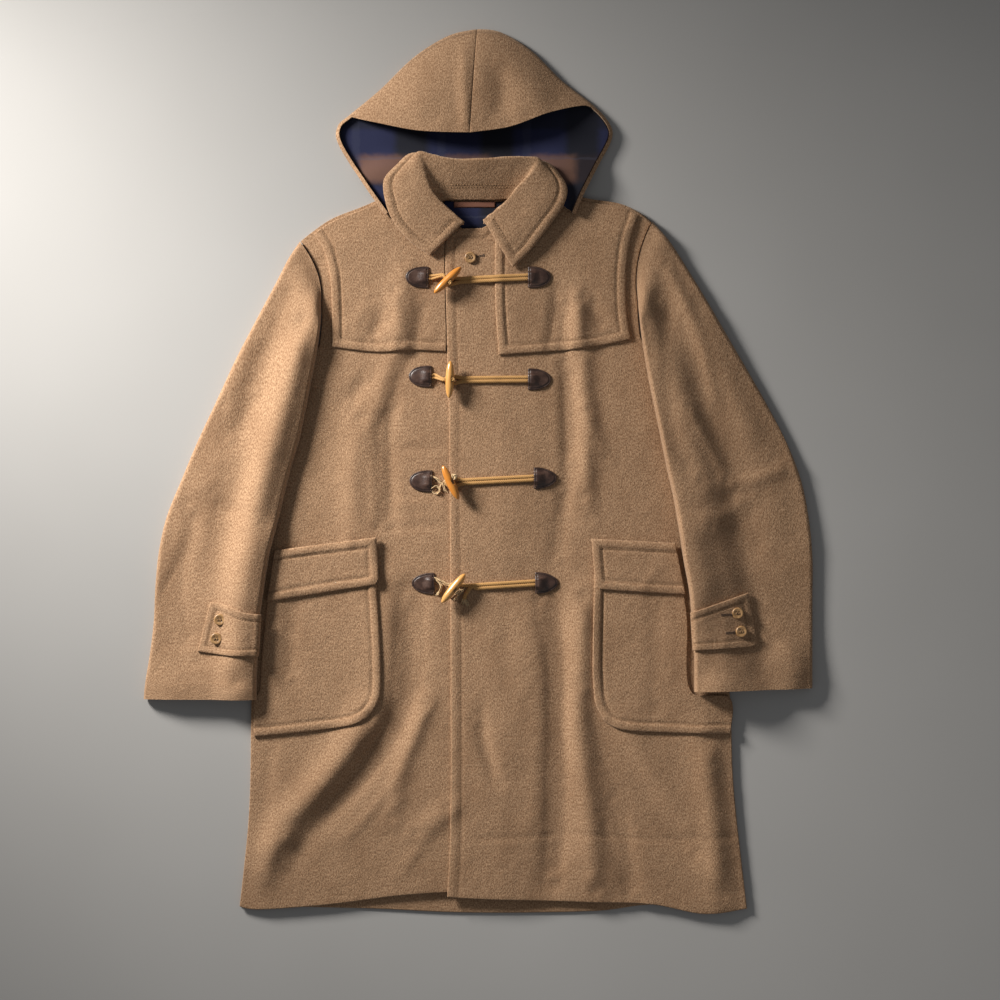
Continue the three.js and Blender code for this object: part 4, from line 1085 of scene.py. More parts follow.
def hood_lines(side, inwards, mouth_back=0.0):
    """Three matching lines, from the lower corner to the centre seam: mouth, fold and neck."""
    half = HOOD_HALVES[side]
    corner = HOOD_CORNER[side]
    whole = curve(half["fold"], 2.0)
    mark = np.argmin(np.hypot(*(whole - np.array(half["fold"][corner])).T))
    counts = (max(8, round(length_of(whole[: mark + 1]) / CELL)), round(length_of(whole[mark:]) / CELL))
    first = np.concatenate([RIM_SHARES * 0.01, np.linspace(0.01, 1, counts[0])])
    second = np.concatenate([np.linspace(0, 0.99, counts[1])[1:], 1 - RIM_SHARES[::-1] * 0.01])
    fold = np.vstack([spaced(whole[: mark + 1], first), spaced(whole[mark:], second)])
    inner = moved_in(fold, inwards) if inwards else fold
    rim = moved_in(spaced(whole[: mark + 1], first), HOOD_RIM + mouth_back)
    mouth = curve(half["mouth"], 2.0) + np.array([0, mouth_back])
    edge = np.vstack([rim, spaced(np.vstack([rim[-1:], mouth]), second)])
    total = np.linspace(0, 1, len(fold))
    neck = spaced(curve(half["neck"], 2.0), total)
    return edge, inner, neck


def hood_skin(side, inwards, half_gap, radius, mouth_back=0.0):
    """One skin of a half: rows from the mouth over the fold to the neck. Its height is the fold's
    middle plus and minus half_gap, with a round edge of that radius at the fold."""
    edge, fold, neck = hood_lines(side, inwards, mouth_back)
    near = np.array([0, 0.004, 0.014, 0.03, 0.05])
    upper = np.concatenate([RIM_SHARES * 0.012, np.linspace(0.012, 0.94, 38), 1 - near[::-1]])
    lower = np.concatenate([near[1:], np.linspace(0.08, 0.985, 40), 1 - RIM_SHARES[::-1] * 0.012])
    over = edge + upper[:, None, None] * (fold - edge)
    under = fold + lower[:, None, None] * (neck - fold)
    low = lambda p: read_map(HOOD_SUPPORT, p[..., 0], p[..., 1]) + FOLD_MIDDLE
    from_fold = lambda p: np.linalg.norm(p - fold, axis=-1)
    rise = hood_rise(over[..., 0], over[..., 1])
    over_z = low(over) + half_gap * round_edge(from_fold(over), radius)
    over_z = over_z + rise * smoothstep(from_fold(over), 0, 4)
    under_z = low(under) - half_gap * round_edge(from_fold(under), radius)
    return np.concatenate([np.dstack([over, over_z]), np.dstack([under, under_z])])


def seam_pinch(outer, inner, reach=2.6):
    """Draws both skins together at the centre seam, over the last reach of each row."""
    gap = np.linalg.norm(outer - outer[:, -1:], axis=-1)
    full = round_edge(gap, reach)[..., None]
    middle = (outer + inner) / 2
    return middle + (outer - middle) * full, middle + (inner - middle) * full, 1 - full[..., 0]


def make_hood(side):
    outer = hood_skin(side, 0.0, FOLD_MIDDLE, FOLD_MIDDLE)
    inner = hood_skin(side, CLOTH, LINING_ROOM / 2, LINING_ROOM / 2)
    outer, inner, pinch = seam_pinch(outer, inner)
    way = np.where(np.arange(len(outer))[:, None] < FOLD_ROW, 1, -1)
    turned = np.stack([outer[..., 0], way * outer[..., 1]], axis=-1)
    # Painted shade along the centre seam, where the two skins pinch together
    mesh = wall("hood_" + side + "_cloth", outer, inner, turned, 0.6 * pinch)
    return piece(mesh, WOOL, "wool", "hood_" + side)


for hood_side in HOOD_HALVES:
    make_hood(hood_side)

# %% [markdown]
# ## The lining
# The lining is a soft woven check in navy, black and rust. Each colour is a set of bands across and a
# set of bands down the cloth, and where two sets cross the threads mix. It is drawn here from the cloth
# coordinates alone, at the scale of the real one, in a plain arrangement of its own.

# %% Check material
NAVY = (0.0105, 0.0135, 0.050)
BLACK = (0.0045, 0.005, 0.011)
RUST = (0.150, 0.072, 0.044)
SLATE = (0.060, 0.066, 0.100)


def make_check():
    finish = Finish("check_lining", Roughness=0.85, Sheen_Weight=0.06)
    finish.shader.inputs["Specular IOR Level"].default_value = 0.3
    flat = finish.uv()
    split = finish.tree.nodes.new("ShaderNodeSeparateXYZ")
    finish.put(split.inputs[0], flat)
    across, down = Value(finish, split.outputs[0]), Value(finish, split.outputs[1])

    def bands(along, period, shift, low, high):
        """Soft-edged bands: a sine along the cloth, cut between two levels."""
        wave = (along * (2 * math.pi / period) + shift).math("SINE")
        return wave.ramp(low, high)

    thread = finish.noise(finish.uv(2600, 2600), 1.0, 1.0)
    blur = finish.noise(finish.uv(120, 120), 1.0, 3.0) * 0.006 - 0.003
    across, down = across + blur, down + blur
    rust_across = bands(across, 0.118, 2.4, -0.5, 0.3)
    color = finish.mix(bands(across, 0.118, 0.2, 0.0, 0.7), NAVY, BLACK)
    color = finish.mix(bands(down, 0.080, 1.2, 0.2, 0.8) * 0.7, color, BLACK)
    color = finish.mix(bands(down, 0.160, 4.12, 0.55, 0.9) * (rust_across * 0.75 + 0.1), color, RUST)
    color = finish.mix(bands(across, 0.118, 4.3, 0.93, 0.985) * 0.16, color, SLATE)
    color = finish.mix(bands(down, 0.080, 5.5, 0.985, 0.998) * 0.25, color, SLATE)
    color = finish.mix(thread.ramp(0.3, 0.8) * 0.16, color, SLATE)
    return finish.paint(color, None, thread, 0.35, 0.0004)


CHECK = make_check()


# %% Hood lining
def make_hood_lining():
    """The lining of both halves in one closed wall: it hangs just under the upper layer's wool and lies
    on the lower layer's, with a little slack."""
    skins = []
    for inwards, half_gap in ((CLOTH + GAP, LINING_ROOM / 2 - GAP), (CLOTH + GAP + 0.6, 0.1)):
        halves = []
        for side, order in (("right", 1), ("left", -1)):
            skin = hood_skin(side, inwards, half_gap, 0.6, mouth_back=1.5)
            halves.append(skin[:, ::order])
        skins.append(np.concatenate([halves[0], halves[1][:, 1:]], axis=1))
    outer, inner = skins
    away = away_from(WHOLE_FOLD, outer[..., 0], outer[..., 1])
    slack = smoothstep(away, 10, 60) * (0.9 + 0.9 * uneven(outer[..., 0], outer[..., 1], 34, 11))
    lower = np.arange(len(outer))[:, None] >= FOLD_ROW
    inner[..., 2] = np.where(lower, outer[..., 2] + LINING + slack, outer[..., 2] - LINING)
    outer[..., 2] = np.where(lower, outer[..., 2] + 0.1, outer[..., 2] - 0.1)
    flat = np.stack([outer[..., 0], outer[..., 1]], axis=-1)
    mesh = wall("hood_lining_cloth", outer, inner, flat, np.zeros(outer.shape[:2]))
    return piece(mesh, CHECK, "lining", "hood_lining")


make_hood_lining()

# %% [markdown]
# ## Inside the neck
# Below the collar the lining shows again, with a plain strip of red-brown tape across the top of it.

# %% Neck lining and strip
NECK_LINING = {
    "left": [(-46, 316), (-56, 345), (-46, 372.5)],
    "bottom": [(-46, 316), (40, 316)],
    "right": [(40, 316), (52, 345), (42, 372.5)],
    "top": [(-46, 372.5), (-20, 370.5), (20, 370.5), (42, 372.5)],
}
NECK_STRIP = {
    "left": [(-34, 363), (-34, 371)],
    "bottom": [(-34, 363), (23, 363)],
    "right": [(23, 363), (23, 371)],
    "top": [(-34, 371), (23, 371)],
}


def make_tape():
    finish = Finish("tape", Roughness=0.85)
    thread = finish.noise(finish.uv(1500, 3000), 1.0, 2.0)
    color = finish.mix(thread, (0.115, 0.043, 0.026), (0.22, 0.088, 0.05))
    return finish.paint(color, None, thread, 0.4, 0.0004)


def make_small_sheet(name, sides, base, thick, material, slot):
    """A sheet of one thickness on a level base, with a slightly swollen upper side."""
    x, y, full = between(smooth_sides(sides), 1.6)
    top = base + thick + 0.3 + 0.35 * uneven(x, y, 17, 12)
    mesh = layered(name + "_cloth", x, y, full, base, top, np.zeros(x.shape), base + thick / 2)
    return piece(mesh, material, slot, name)


make_small_sheet("neck_lining", NECK_LINING, LAYER, LINING, CHECK, "lining")
make_small_sheet("neck_strip", NECK_STRIP, LAYER + LINING + GAP + 0.3, LINING, make_tape(), "strip")

# %% [markdown]
# ## The collar
# The collar is two layers of wool pressed into one wall. It rises from the neck seam as a stand, rolls
# over and falls to its edge. At each station round the neck a smooth line runs through the neck seam,
# the roll and the edge, and the wall is laid to both sides of that surface along its normals.

# %% Collar
COLLAR_BULGE = 2.0
COLLAR_WELT = 12.5
STAND_SEAMS = (19, 23)
STAND_ROWS = np.concatenate([RIM_SHARES * 0.04, 1 - 0.96 * (1 - np.linspace(0, 1, 16)) ** 1.6])
FALL_ROWS = np.concatenate([0.965 * np.linspace(0, 1, 40)[1:] ** 1.4, 1 - RIM_SHARES[::-1] * 0.035])


def collar_middle(t):
    """The collar's middle surface: stations t round the neck, and rows up the stand and down the fall.
    One row lies right on the roll and the rows next to it are close, so the tight bend is the same
    at each station."""
    table = columns_of(COLLAR, COLLAR_COLUMNS, t)
    point = lambda k: np.stack([table[k + "_" + axis] for axis in "xyz"], axis=-1)
    neck, roll, edge = point("neck"), point("roll"), point("edge")
    lift = np.array([0, 0, 1.0])
    stand, fall = (neck + roll) / 2 + lift * COLLAR_BULGE / 2, (roll + edge) / 2 + lift * COLLAR_BULGE
    marks = np.stack([neck, stand, roll, fall, edge])
    lines = []
    for k in range(len(t)):
        line = curve(marks[:, k], 0.1)
        top = np.argmin(np.linalg.norm(line - roll[k], axis=1))
        lines.append(np.vstack([spaced(line[: top + 1], STAND_ROWS), spaced(line[top:], FALL_ROWS)]))
    return np.stack(lines, axis=1)


def normals_of(grid):
    """Unit normals of a grid of points: the cross product of its two directions."""
    across = np.gradient(grid, axis=1)
    along = np.gradient(grid, axis=0)
    normal = np.cross(across, along)
    return normal / np.linalg.norm(normal, axis=-1, keepdims=True)


def make_collar():
    """A closed wall to both sides of the middle surface, with a welt at the edge and at both front
    ends. It returns the lines of its seams, with two rows of stitches low on the stand."""
    t = shares(420, 3.0)
    middle = collar_middle(t)
    count = len(middle)
    rows_length = np.linalg.norm(np.diff(middle, axis=0), axis=-1)
    from_neck = np.concatenate([np.zeros((1, len(t))), np.cumsum(rows_length, axis=0)])
    to_edge = from_neck[-1:] - from_neck
    round_neck = np.linalg.norm(np.diff(middle, axis=1), axis=-1)
    from_start = np.concatenate([np.zeros((count, 1)), np.cumsum(round_neck, axis=1)], axis=1)
    to_end = np.minimum(from_start, from_start[:, -1:] - from_start)
    rim = np.minimum(np.minimum(to_edge, from_neck), to_end)
    full = round_edge(rim, RIM + 0.4)
    falls = np.arange(count) > len(STAND_ROWS) + 4
    sewn = np.where(falls[:, None], np.minimum(to_edge, to_end), 1e3)
    back = smoothstep(t, 0.3, 0.4) * smoothstep(1 - t, 0.3, 0.4)
    stand = sum(np.exp(-(((from_neck - place) / 0.9) ** 2)) for place in STAND_SEAMS)
    x, y = middle[..., 0], middle[..., 1]
    relief = welt(sewn, COLLAR_WELT, 1.0, 1.2) + 1.2 * pile(x, y) - 0.6 * stand * back
    relief = relief + 0.5 * uneven(x, y, 30, 9)
    normal = normals_of(middle)
    upper = middle + normal * (full * (COLLAR_WALL / 2 + relief))[..., None]
    lower = middle - normal * (full * COLLAR_WALL / 2)[..., None]
    # Painted shade in the dip along the stitches and in the two seams low on the stand
    shade = seam_shade(sewn, COLLAR_WELT) + 0.35 * stand * back
    mesh = wall("collar_cloth", upper, lower, np.stack([x, y], axis=-1), shade)
    piece(mesh, WOOL, "wool", "collar")
    inside_ends = np.flatnonzero(to_end[-1] > COLLAR_WELT)
    rows = [[crossing(COLLAR_WELT, to_edge[::-1, k], upper[::-1, k]) for k in inside_ends]]
    falling = np.flatnonzero(falls & (to_edge[:, 10] > COLLAR_WELT))
    for end in (from_start, from_start[:, -1:] - from_start):
        order = slice(None) if end is from_start else slice(None, None, -1)
        rows.append([crossing(COLLAR_WELT, end[j, order], upper[j, order]) for j in falling])
    middle_part = np.flatnonzero(back > 0.5)
    for place in STAND_SEAMS:
        rows.append([crossing(place, from_neck[:, k], upper[:, k]) for k in middle_part])
    return [np.array(row) for row in rows]


def crossing(value, measure, points):
    """The point where a measure that grows along a row of points reaches a value."""
    return np.array([np.interp(value, measure, points[:, axis]) for axis in range(3)])


COLLAR_SEAMS = make_collar()

# %% [markdown]
# ## Cuff tabs
# A tab lies on its sleeve, so its height is read from the sleeve's own points: at each place it is
# their average, weighted by a bell of a few millimetres.

# %% Tabs
TABS = {"right": smooth_sides(TAB_RIGHT), "left": smooth_sides(TAB_LEFT)}


def lie_on(points, x, y, width=4.0):
    """The height of a cloud of surface points at each place: their mean, weighted by exp(-(distance /
    width)^2)."""
    flat_x, flat_y = np.ravel(x), np.ravel(y)
    near = points[
        (points[:, 0] > flat_x.min() - 20) & (points[:, 0] < flat_x.max() + 20)
        & (points[:, 1] > flat_y.min() - 20) & (points[:, 1] < flat_y.max() + 20)
    ]
    square = (flat_x[:, None] - near[:, 0]) ** 2 + (flat_y[:, None] - near[:, 1]) ** 2
    weight = np.exp(-square / width**2) + 1e-12
    return ((weight * near[:, 2]).sum(axis=1) / weight.sum(axis=1)).reshape(np.shape(x))


TAB_WELT = 10.0
TAB_AIR = 0.7
TAB_TURN = SLEEVE_HALF + CLOTH


def round_fold(side, x, y):
    """How far the tab drops where it goes round the sleeve's inner fold, as a circle falls from its
    top."""
    rows = np.array((SLEEVE_RIGHT if side == "right" else SLEEVE_LEFT)[10:])
    inwards = (1 if side == "left" else -1) * (x - np.interp(-y, -rows[:, 3], rows[:, 2]))
    beyond = np.clip(SLEEVE_HALF - inwards, 0, TAB_TURN - 0.3)
    return TAB_TURN - np.sqrt(TAB_TURN**2 - beyond**2)


def tab_edges(side):
    """The stitched edges of a tab: all but the one that is sewn into the sleeve's seam."""
    free = "left" if side == "right" else "right"
    return [TABS[side][name] for name in ("bottom", free, "top")]


def tab_bottom(side, x, y):
    """The tab's underside: a little air above the sleeve, and the drop round its fold."""
    return lie_on(SLEEVE_TOPS[side], x, y) - round_fold(side, x, y) + TAB_AIR


def tab_top(side, x, y):
    """The tab's upper side, with its welt and pile."""
    relief = welt(nearest(tab_edges(side), x, y), TAB_WELT, 0.45, 0.6) + pile(x, y)
    return tab_bottom(side, x, y) + CLOTH + relief


def make_tab(side):
    x, y, full = between(TABS[side], 1.8)
    # Painted shade in the dip along the stitches and at the round rim
    shade = seam_shade(nearest(tab_edges(side), x, y), TAB_WELT) + RIM_SHADE * (1 - full)
    name = "cuff_tab_" + side
    heights = tab_bottom(side, x, y), tab_top(side, x, y)
    return piece(layered(name + "_cloth", x, y, full, *heights, shade, uv=(y, x)), WOOL, "wool", name)


for tab_side in TABS:
    make_tab(tab_side)

# %% [markdown]
# ## Lying on the dressed body
# Patches, cords and toggles lie on whatever cloth is on top at their place, with its welts and folds. A
# cord rests on the highest cloth within its own reach, so it bridges a step and never cuts an edge.

# %% The dressed body
def dressed_top(x, y):
    """The top of the finished cloth at each place."""
    x, y = np.asarray(x, float), np.asarray(y, float)
    top = np.full(x.shape, CLOTH)
    for name, (sides, _, _) in PANELS.items():
        covered = inside(outline_of(sides), x, y)
        top[covered] = np.maximum(top[covered], panel_top(name, x[covered], y[covered]))
    return top


def rest_height(x, y, reach):
    """The highest cloth within reach of each place, read at the place and on two rings of twelve round
    it."""
    turn = np.linspace(0, 2 * np.pi, 12, endpoint=False)
    ring = np.stack([np.cos(turn), np.sin(turn)], axis=-1)
    spots = np.vstack([[(0, 0)], ring * reach / 2, ring * reach])
    around = dressed_top(np.asarray(x)[..., None] + spots[:, 0], np.asarray(y)[..., None] + spots[:, 1])
    return around.max(axis=-1)


# %% [markdown]
# ## Tubes
# A cord, a yarn and a stitch are all tubes: a ring of points carried along a path. The ring stands on
# the path's direction, with one axis level and the other upwards, which is steady for anything that
# lies on a surface. The ends are closed by strips of quads, so there is no pole.

# %% Tubes along a path
def tube_quads(points, rings, sides):
    """The quads of a tube of rings, facing out, with each end closed by a strip of quads."""
    index = np.arange(rings * sides).reshape(rings, sides)
    i = np.arange(sides // 2 - 1)
    cap = np.stack([i, i + 1, sides - 2 - i, sides - 1 - i], axis=-1)
    quads = np.vstack([quads_of(np.hstack([index, index[:, :1]])), index[0][cap][:, ::-1], index[-1][cap]])
    return quads[:, ::-1] if volume_of(points, quads) < 0 else quads


def tube(path, radius, sides=8, flat=1.0):
    """Points and quads of a tube: path + radius * (cos(angle) * level axis + sin(angle) * flat * upper
    axis). The radius may differ from ring to ring, and round each ring."""
    path = np.asarray(path, float)
    ahead = np.gradient(path, axis=0)
    ahead /= np.linalg.norm(ahead, axis=1, keepdims=True)
    level = np.cross([0, 0, 1.0], ahead)
    level /= np.maximum(np.linalg.norm(level, axis=1, keepdims=True), 1e-6)
    upwards = np.cross(ahead, level)
    angle = np.linspace(0, 2 * np.pi, sides, endpoint=False)
    radius = np.broadcast_to(np.asarray(radius, float), (len(path), sides))[..., None]
    flat = np.broadcast_to(np.asarray(flat, float), (len(path),))[:, None, None]
    out = level[:, None] * np.cos(angle)[:, None] + flat * upwards[:, None] * np.sin(angle)[:, None]
    points = (path[:, None] + radius * out).reshape(-1, 3)
    return points, tube_quads(points, len(path), sides)


def tube_uv(quads, rings, sides, length, girth):
    """A UV for each corner of a tube's quads: round the tube, then along it, with no jump at the
    closing seam."""
    ring, turn = np.divmod(quads, sides)
    turn = np.where((turn == 0) & (turn.max(axis=1, keepdims=True) == sides - 1), sides, turn)
    return np.stack([turn * girth / sides, ring * length / (rings - 1)], axis=-1)


def gathered(parts):
    """One set of points and quads from many."""
    starts = np.cumsum([0] + [len(points) for points, _ in parts[:-1]])
    quads = np.vstack([quads + start for (_, quads), start in zip(parts, starts)])
    return np.vstack([points for points, _ in parts]), quads


# %% [markdown]
# ## Leather patches
# Each patch is a piece of smooth dark leather, straight towards the cord and round away from it. It is
# sewn down close to its edge, so it puffs up inside the stitches, and it rises over the cords that it
# holds. Leather has a fine pebbled grain, a soft gloss, and pale scuffs where it is bent or rubbed.

# %% Leather
def make_leather():
    finish = Finish("patch_leather", Coat_Weight=0.15, Coat_Roughness=0.35)
    flat = finish.place()
    pebbles = {"Vector": flat, "Scale": 1100.0}
    grain = finish.node("ShaderNodeTexVoronoi", {"feature": "F1"}, pebbles, "Distance")
    wrinkle = finish.noise(finish.place((300, 520, 300)), 1.0, 4.0, 0.6)
    cloud = finish.noise(flat, 90.0, 3.0, 0.6)
    color = finish.mix(cloud.ramp(0.35, 0.7), (0.038, 0.0175, 0.0120), (0.085, 0.044, 0.030))
    color = finish.mix(wrinkle.ramp(0.55, 0.8) * 0.5, color, (0.13, 0.070, 0.048))
    # Painted shade: near black in the stitch groove and towards the rim
    color = finish.mix(finish.shade(), color, (0.005, 0.002, 0.0015))
    return finish.paint(color, cloud * 0.3 + 0.27, grain * 0.5 + wrinkle * 0.8, 0.5, 0.0006)


LEATHER = make_leather()

# %% Patches
CORD_COVER = 9.0
TIP = {"right": (0.82, 0.85, 0.80, 1.05), "left": (0.95, 0.95, 1.15, 1.2)}


def patch_sides(x, y, away, tip):
    """Straight side, then a round one that reaches cos(angle)^tip of the rest of the width."""
    half = PATCH_HEIGHT / 2
    straight = x - away * PATCH_WIDTH / 2
    angle = np.linspace(-np.pi / 2, np.pi / 2, 61)
    bow = 4 + np.abs(np.cos(angle)) ** tip * (PATCH_WIDTH - 4)
    edge = np.stack([straight + away * bow, y + half * np.sin(angle)], axis=-1)
    low, high = (straight, y - half + 1.2), (straight, y + half - 1.2)
    return {
        "left": np.array([low, high]),
        "bottom": np.vstack([[low, (straight + away * 1.1, y - half + 0.2)], edge[:19]]),
        "right": edge[18:43],
        "top": np.vstack([[high, (straight + away * 1.1, y + half - 0.2)], edge[:41:-1]]),
    }


def patch_place(side, row):
    """The middle of a patch, the way that its round end points, and its four sides."""
    x, y = FASTENINGS[row][0 if side == "right" else 1]
    away = -1 if side == "right" else 1
    return (x, y), away, patch_sides(x, y, away, TIP[side][row])


def patch_relief(side, row, x, y):
    """The patch's underside and top: it rises over the cords at the straight side and puffs inside the
    seam."""
    (_, middle_y), away, sides = patch_place(side, row)
    _, low, layers = PANELS[("yoke_" if row == 0 else "front_") + side]
    from_straight = away * (x - sides["left"][0, 0])
    edge = nearest([np.vstack([outline_of(sides), outline_of(sides)[:1]])], x, y)
    lift = (3.3 if side == "left" else 2.6) * (1 - smoothstep(np.abs(y - middle_y), 4.5, 10))
    lift = lift * (1 - smoothstep(from_straight, CORD_COVER - 4, CORD_COVER + 9))
    bottom = low(x, y) + layers * LAYER + CLOTH + drape(x, y) + 0.15 + lift
    groove = np.exp(-(((edge - 2.3) / 0.55) ** 2))
    dome = 1.5 * (1 - np.exp(-edge / 4.0)) + 0.35 * uneven(x, y, 8, 21 + row)
    return bottom, bottom + PATCH_THICK - 0.5 + dome - 0.9 * groove, groove


def make_patch(side, row):
    x, y, full = between(patch_place(side, row)[2], 1.0)
    bottom, top, groove = patch_relief(side, row, x, y)
    # Painted shade in the stitch groove and towards the rim
    shade = 0.85 * groove + 0.6 * (1 - full)
    name = "patch_%s_%d" % (side, row + 1)
    return piece(layered(name + "_leather", x, y, full, bottom, top, shade), LEATHER, "leather", name)


for patch_side in ("right", "left"):
    for patch_row in range(len(FASTENINGS)):
        make_patch(patch_side, patch_row)

# %% [markdown]
# ## Braided cords
# A round braid is two families of strands that wind opposite ways and cross over each other. Seen from
# outside, the surface is the higher of two waves, one for each family. The same wave paints shade onto
# the cord between strands.

# %% Cord material
CORD_LIGHT = (0.62, 0.345, 0.115)
CORD_DARK = (0.24, 0.110, 0.030)


def make_cord_material(name, light, dark):
    finish = Finish(name, Roughness=0.85, Sheen_Weight=0.08)
    fibre = finish.noise(finish.uv(1600, 500), 1.0, 3.0, 0.6)
    soil = finish.noise(finish.place(), 60.0, 2.0)
    color = finish.mix(fibre.ramp(0.3, 0.7) * 0.35, light, dark)
    color = finish.mix(soil.ramp(0.45, 0.75) * 0.25, color, dark)
    # Painted shade between the strands of a braid, from the grid's shade values
    color = finish.mix(finish.shade(), color, dark)
    return finish.paint(color, None, fibre, 0.4, 0.0003)


BRAID = make_cord_material("cord_braid", CORD_LIGHT, CORD_DARK)
YARN = make_cord_material("cord_yarn", (0.66, 0.48, 0.27), (0.38, 0.23, 0.10))

# %% Cords
BRAID_STRANDS = 4
BRAID_SPACING = 2.9


def cord_along(name, marks, width, flat_ends, material=BRAID, step=0.6, sides=18, pressed=1.0):
    """A braided cord through marks. Its radius has the braid's relief, it is pressed to a share of its
    height, and it is flatter still at the ends that are sewn under a patch."""
    path = curve(marks, step)
    run = np.concatenate([[0], np.cumsum(np.linalg.norm(np.diff(path, axis=0), axis=1))])
    angle = np.linspace(0, 2 * np.pi, sides, endpoint=False)
    wind = 2 * np.pi * run[:, None] / BRAID_SPACING
    braid = np.maximum(np.cos(BRAID_STRANDS * angle + wind), np.cos(BRAID_STRANDS * angle - wind))
    flat = np.full(len(path), pressed)
    for sewn, from_end in zip(flat_ends, (run, run[-1] - run)):
        if sewn:
            flat *= 1 - 0.4 * (1 - smoothstep(from_end, CORD_COVER - 5, CORD_COVER + 2))
    cap = round_edge(np.minimum(run, run[-1] - run) + 0.15, width / 2)
    points, quads = tube(path, (width / 2 - 0.34 + 0.34 * braid) * cap[:, None], sides, flat)
    uv = tube_uv(quads, len(path), sides, run[-1], math.pi * width)
    # Painted shade in the grooves between the strands
    mesh = mesh_from(name, points, quads, uv, 0.85 * (1 - braid) / 1.7)
    return mesh, path


def declared_cord(name, marks, width, far_end, nodes=(), **looks):
    """A cord that replaces its nodes."""
    mesh, path = cord_along(name, marks, width, **looks)
    thing = piece(mesh, looks.get("material", BRAID), "cord", *nodes)
    return thing


# %% Loops
STRAND = 2.35
LOOP_WIDTH = 5.6
LOOP_SPREAD = 5.0


def loop_marks(row):
    """The loop's route: out of the left patch, round the toggle's cord and back into the patch."""
    _, (left_x, left_y), (toggle_x, toggle_y), _ = FASTENINGS[row]
    start = left_x - PATCH_WIDTH / 2 - GAP
    slope = (left_y - toggle_y) / (start - toggle_x)
    straight = [(x, STRAND) for x in np.linspace(start, toggle_x + 18, 8)]
    turn = [
        (toggle_x + 5, LOOP_SPREAD), (toggle_x - 2, LOOP_SPREAD - 0.6), (toggle_x - 6, 0),
        (toggle_x - 2, 0.6 - LOOP_SPREAD), (toggle_x + 5, -LOOP_SPREAD),
    ]
    back = [(x, -STRAND) for x, _ in straight[::-1]]
    under = start + CORD_COVER
    marks = np.array([(under, STRAND), *straight, *turn, *back, (under, -STRAND)])
    x, y = marks[:, 0], toggle_y + slope * (marks[:, 0] - toggle_x) + marks[:, 1]
    z = rest_height(x, y, CORD) + 0.32 * LOOP_WIDTH + 0.2
    for _ in range(2):
        z[1:-1] = np.maximum(z[1:-1], (z[:-2] + z[2:]) / 2)
    z[[0, -1]] -= 0.2 * CORD / 2
    return np.stack([x, y, z], axis=-1)


for loop_row in range(3):
    declared_cord(
        "loop_cord_%d_braid" % (loop_row + 1), loop_marks(loop_row), LOOP_WIDTH, "object",
        ["loop_cord_%d" % (loop_row + 1)], flat_ends=(True, True), pressed=0.64,
    )

# %% [markdown]
# The lowest loop has worn through at the toggle. Its upper strand still runs under the toggle, and the
# lower one curls away and ends in a frayed tuft.

# %% The worn loop
WORN = loop_marks(3)
UPPER_STRAND = WORN[:12]
LOWER_TURN = np.array([(-7.0, -158.0), (-13.5, -163.5), (-18.0, -171.0), (-19.5, -177.0)])
LOWER_Z = rest_height(LOWER_TURN[:, 0], LOWER_TURN[:, 1], CORD) + CORD / 2 + 0.35
LOWER_STRAND = np.vstack([WORN[:-9:-1], np.column_stack([LOWER_TURN, LOWER_Z])])
FLATTENED = {"flat_ends": (True, False), "pressed": 0.64}
declared_cord("loop_cord_4_braid", UPPER_STRAND, LOOP_WIDTH, "object", ["loop_cord_4"], **FLATTENED)
declared_cord("loop_cord_4_worn", LOWER_STRAND, LOOP_WIDTH, "bare", **FLATTENED)

# %% [markdown]
# ## Toggles
# A toggle is a spindle of polished horn. Its radius falls off towards the tips as (1 - t^2.7)^0.58, and
# on its upper side there is an oval slot, where its own cord comes through. Horn is streaked along its
# length.

# %% Horn
def make_horn(name, light, dark):
    finish = Finish(name, Coat_Weight=0.4, Coat_Roughness=0.2)
    streak = finish.noise(finish.uv(260, 34), 1.0, 3.0, 0.6)
    cloud = finish.noise(finish.uv(40, 22), 1.0, 2.0)
    color = finish.mix((streak * 0.6 + cloud * 0.4).ramp(0.34, 0.66), light, dark)
    # Painted shade deep in the slot
    color = finish.mix(finish.shade(), color, (0.016, 0.008, 0.004))
    return finish.paint(color, streak * 0.15 + 0.24, streak, 0.15, 0.0004)


AMBER = make_horn("horn_amber", (0.66, 0.27, 0.045), (0.50, 0.155, 0.016))
HONEY = make_horn("horn_honey", (0.70, 0.38, 0.12), (0.52, 0.22, 0.045))
TOGGLE_RADIUS = 5.8
TOGGLE_LENGTH = 51.0
TOGGLE_SIDES = 40
SLOT_UP = 0.85


def toggle_ways(row):
    """A toggle's own direction, and the level direction across it towards the left patch."""
    turned = math.radians(FASTENINGS[row][3])
    cos, sin = math.cos(turned), math.sin(turned)
    return np.array([cos, sin, 0]), np.array([sin, -cos, 0])


def toggle_middle(row):
    """The middle of a toggle's own solid."""
    low, high = (np.array(corner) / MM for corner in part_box("toggle_%d" % (row + 1)))
    return np.array([*FASTENINGS[row][2], (low[2] + high[2]) / 2])


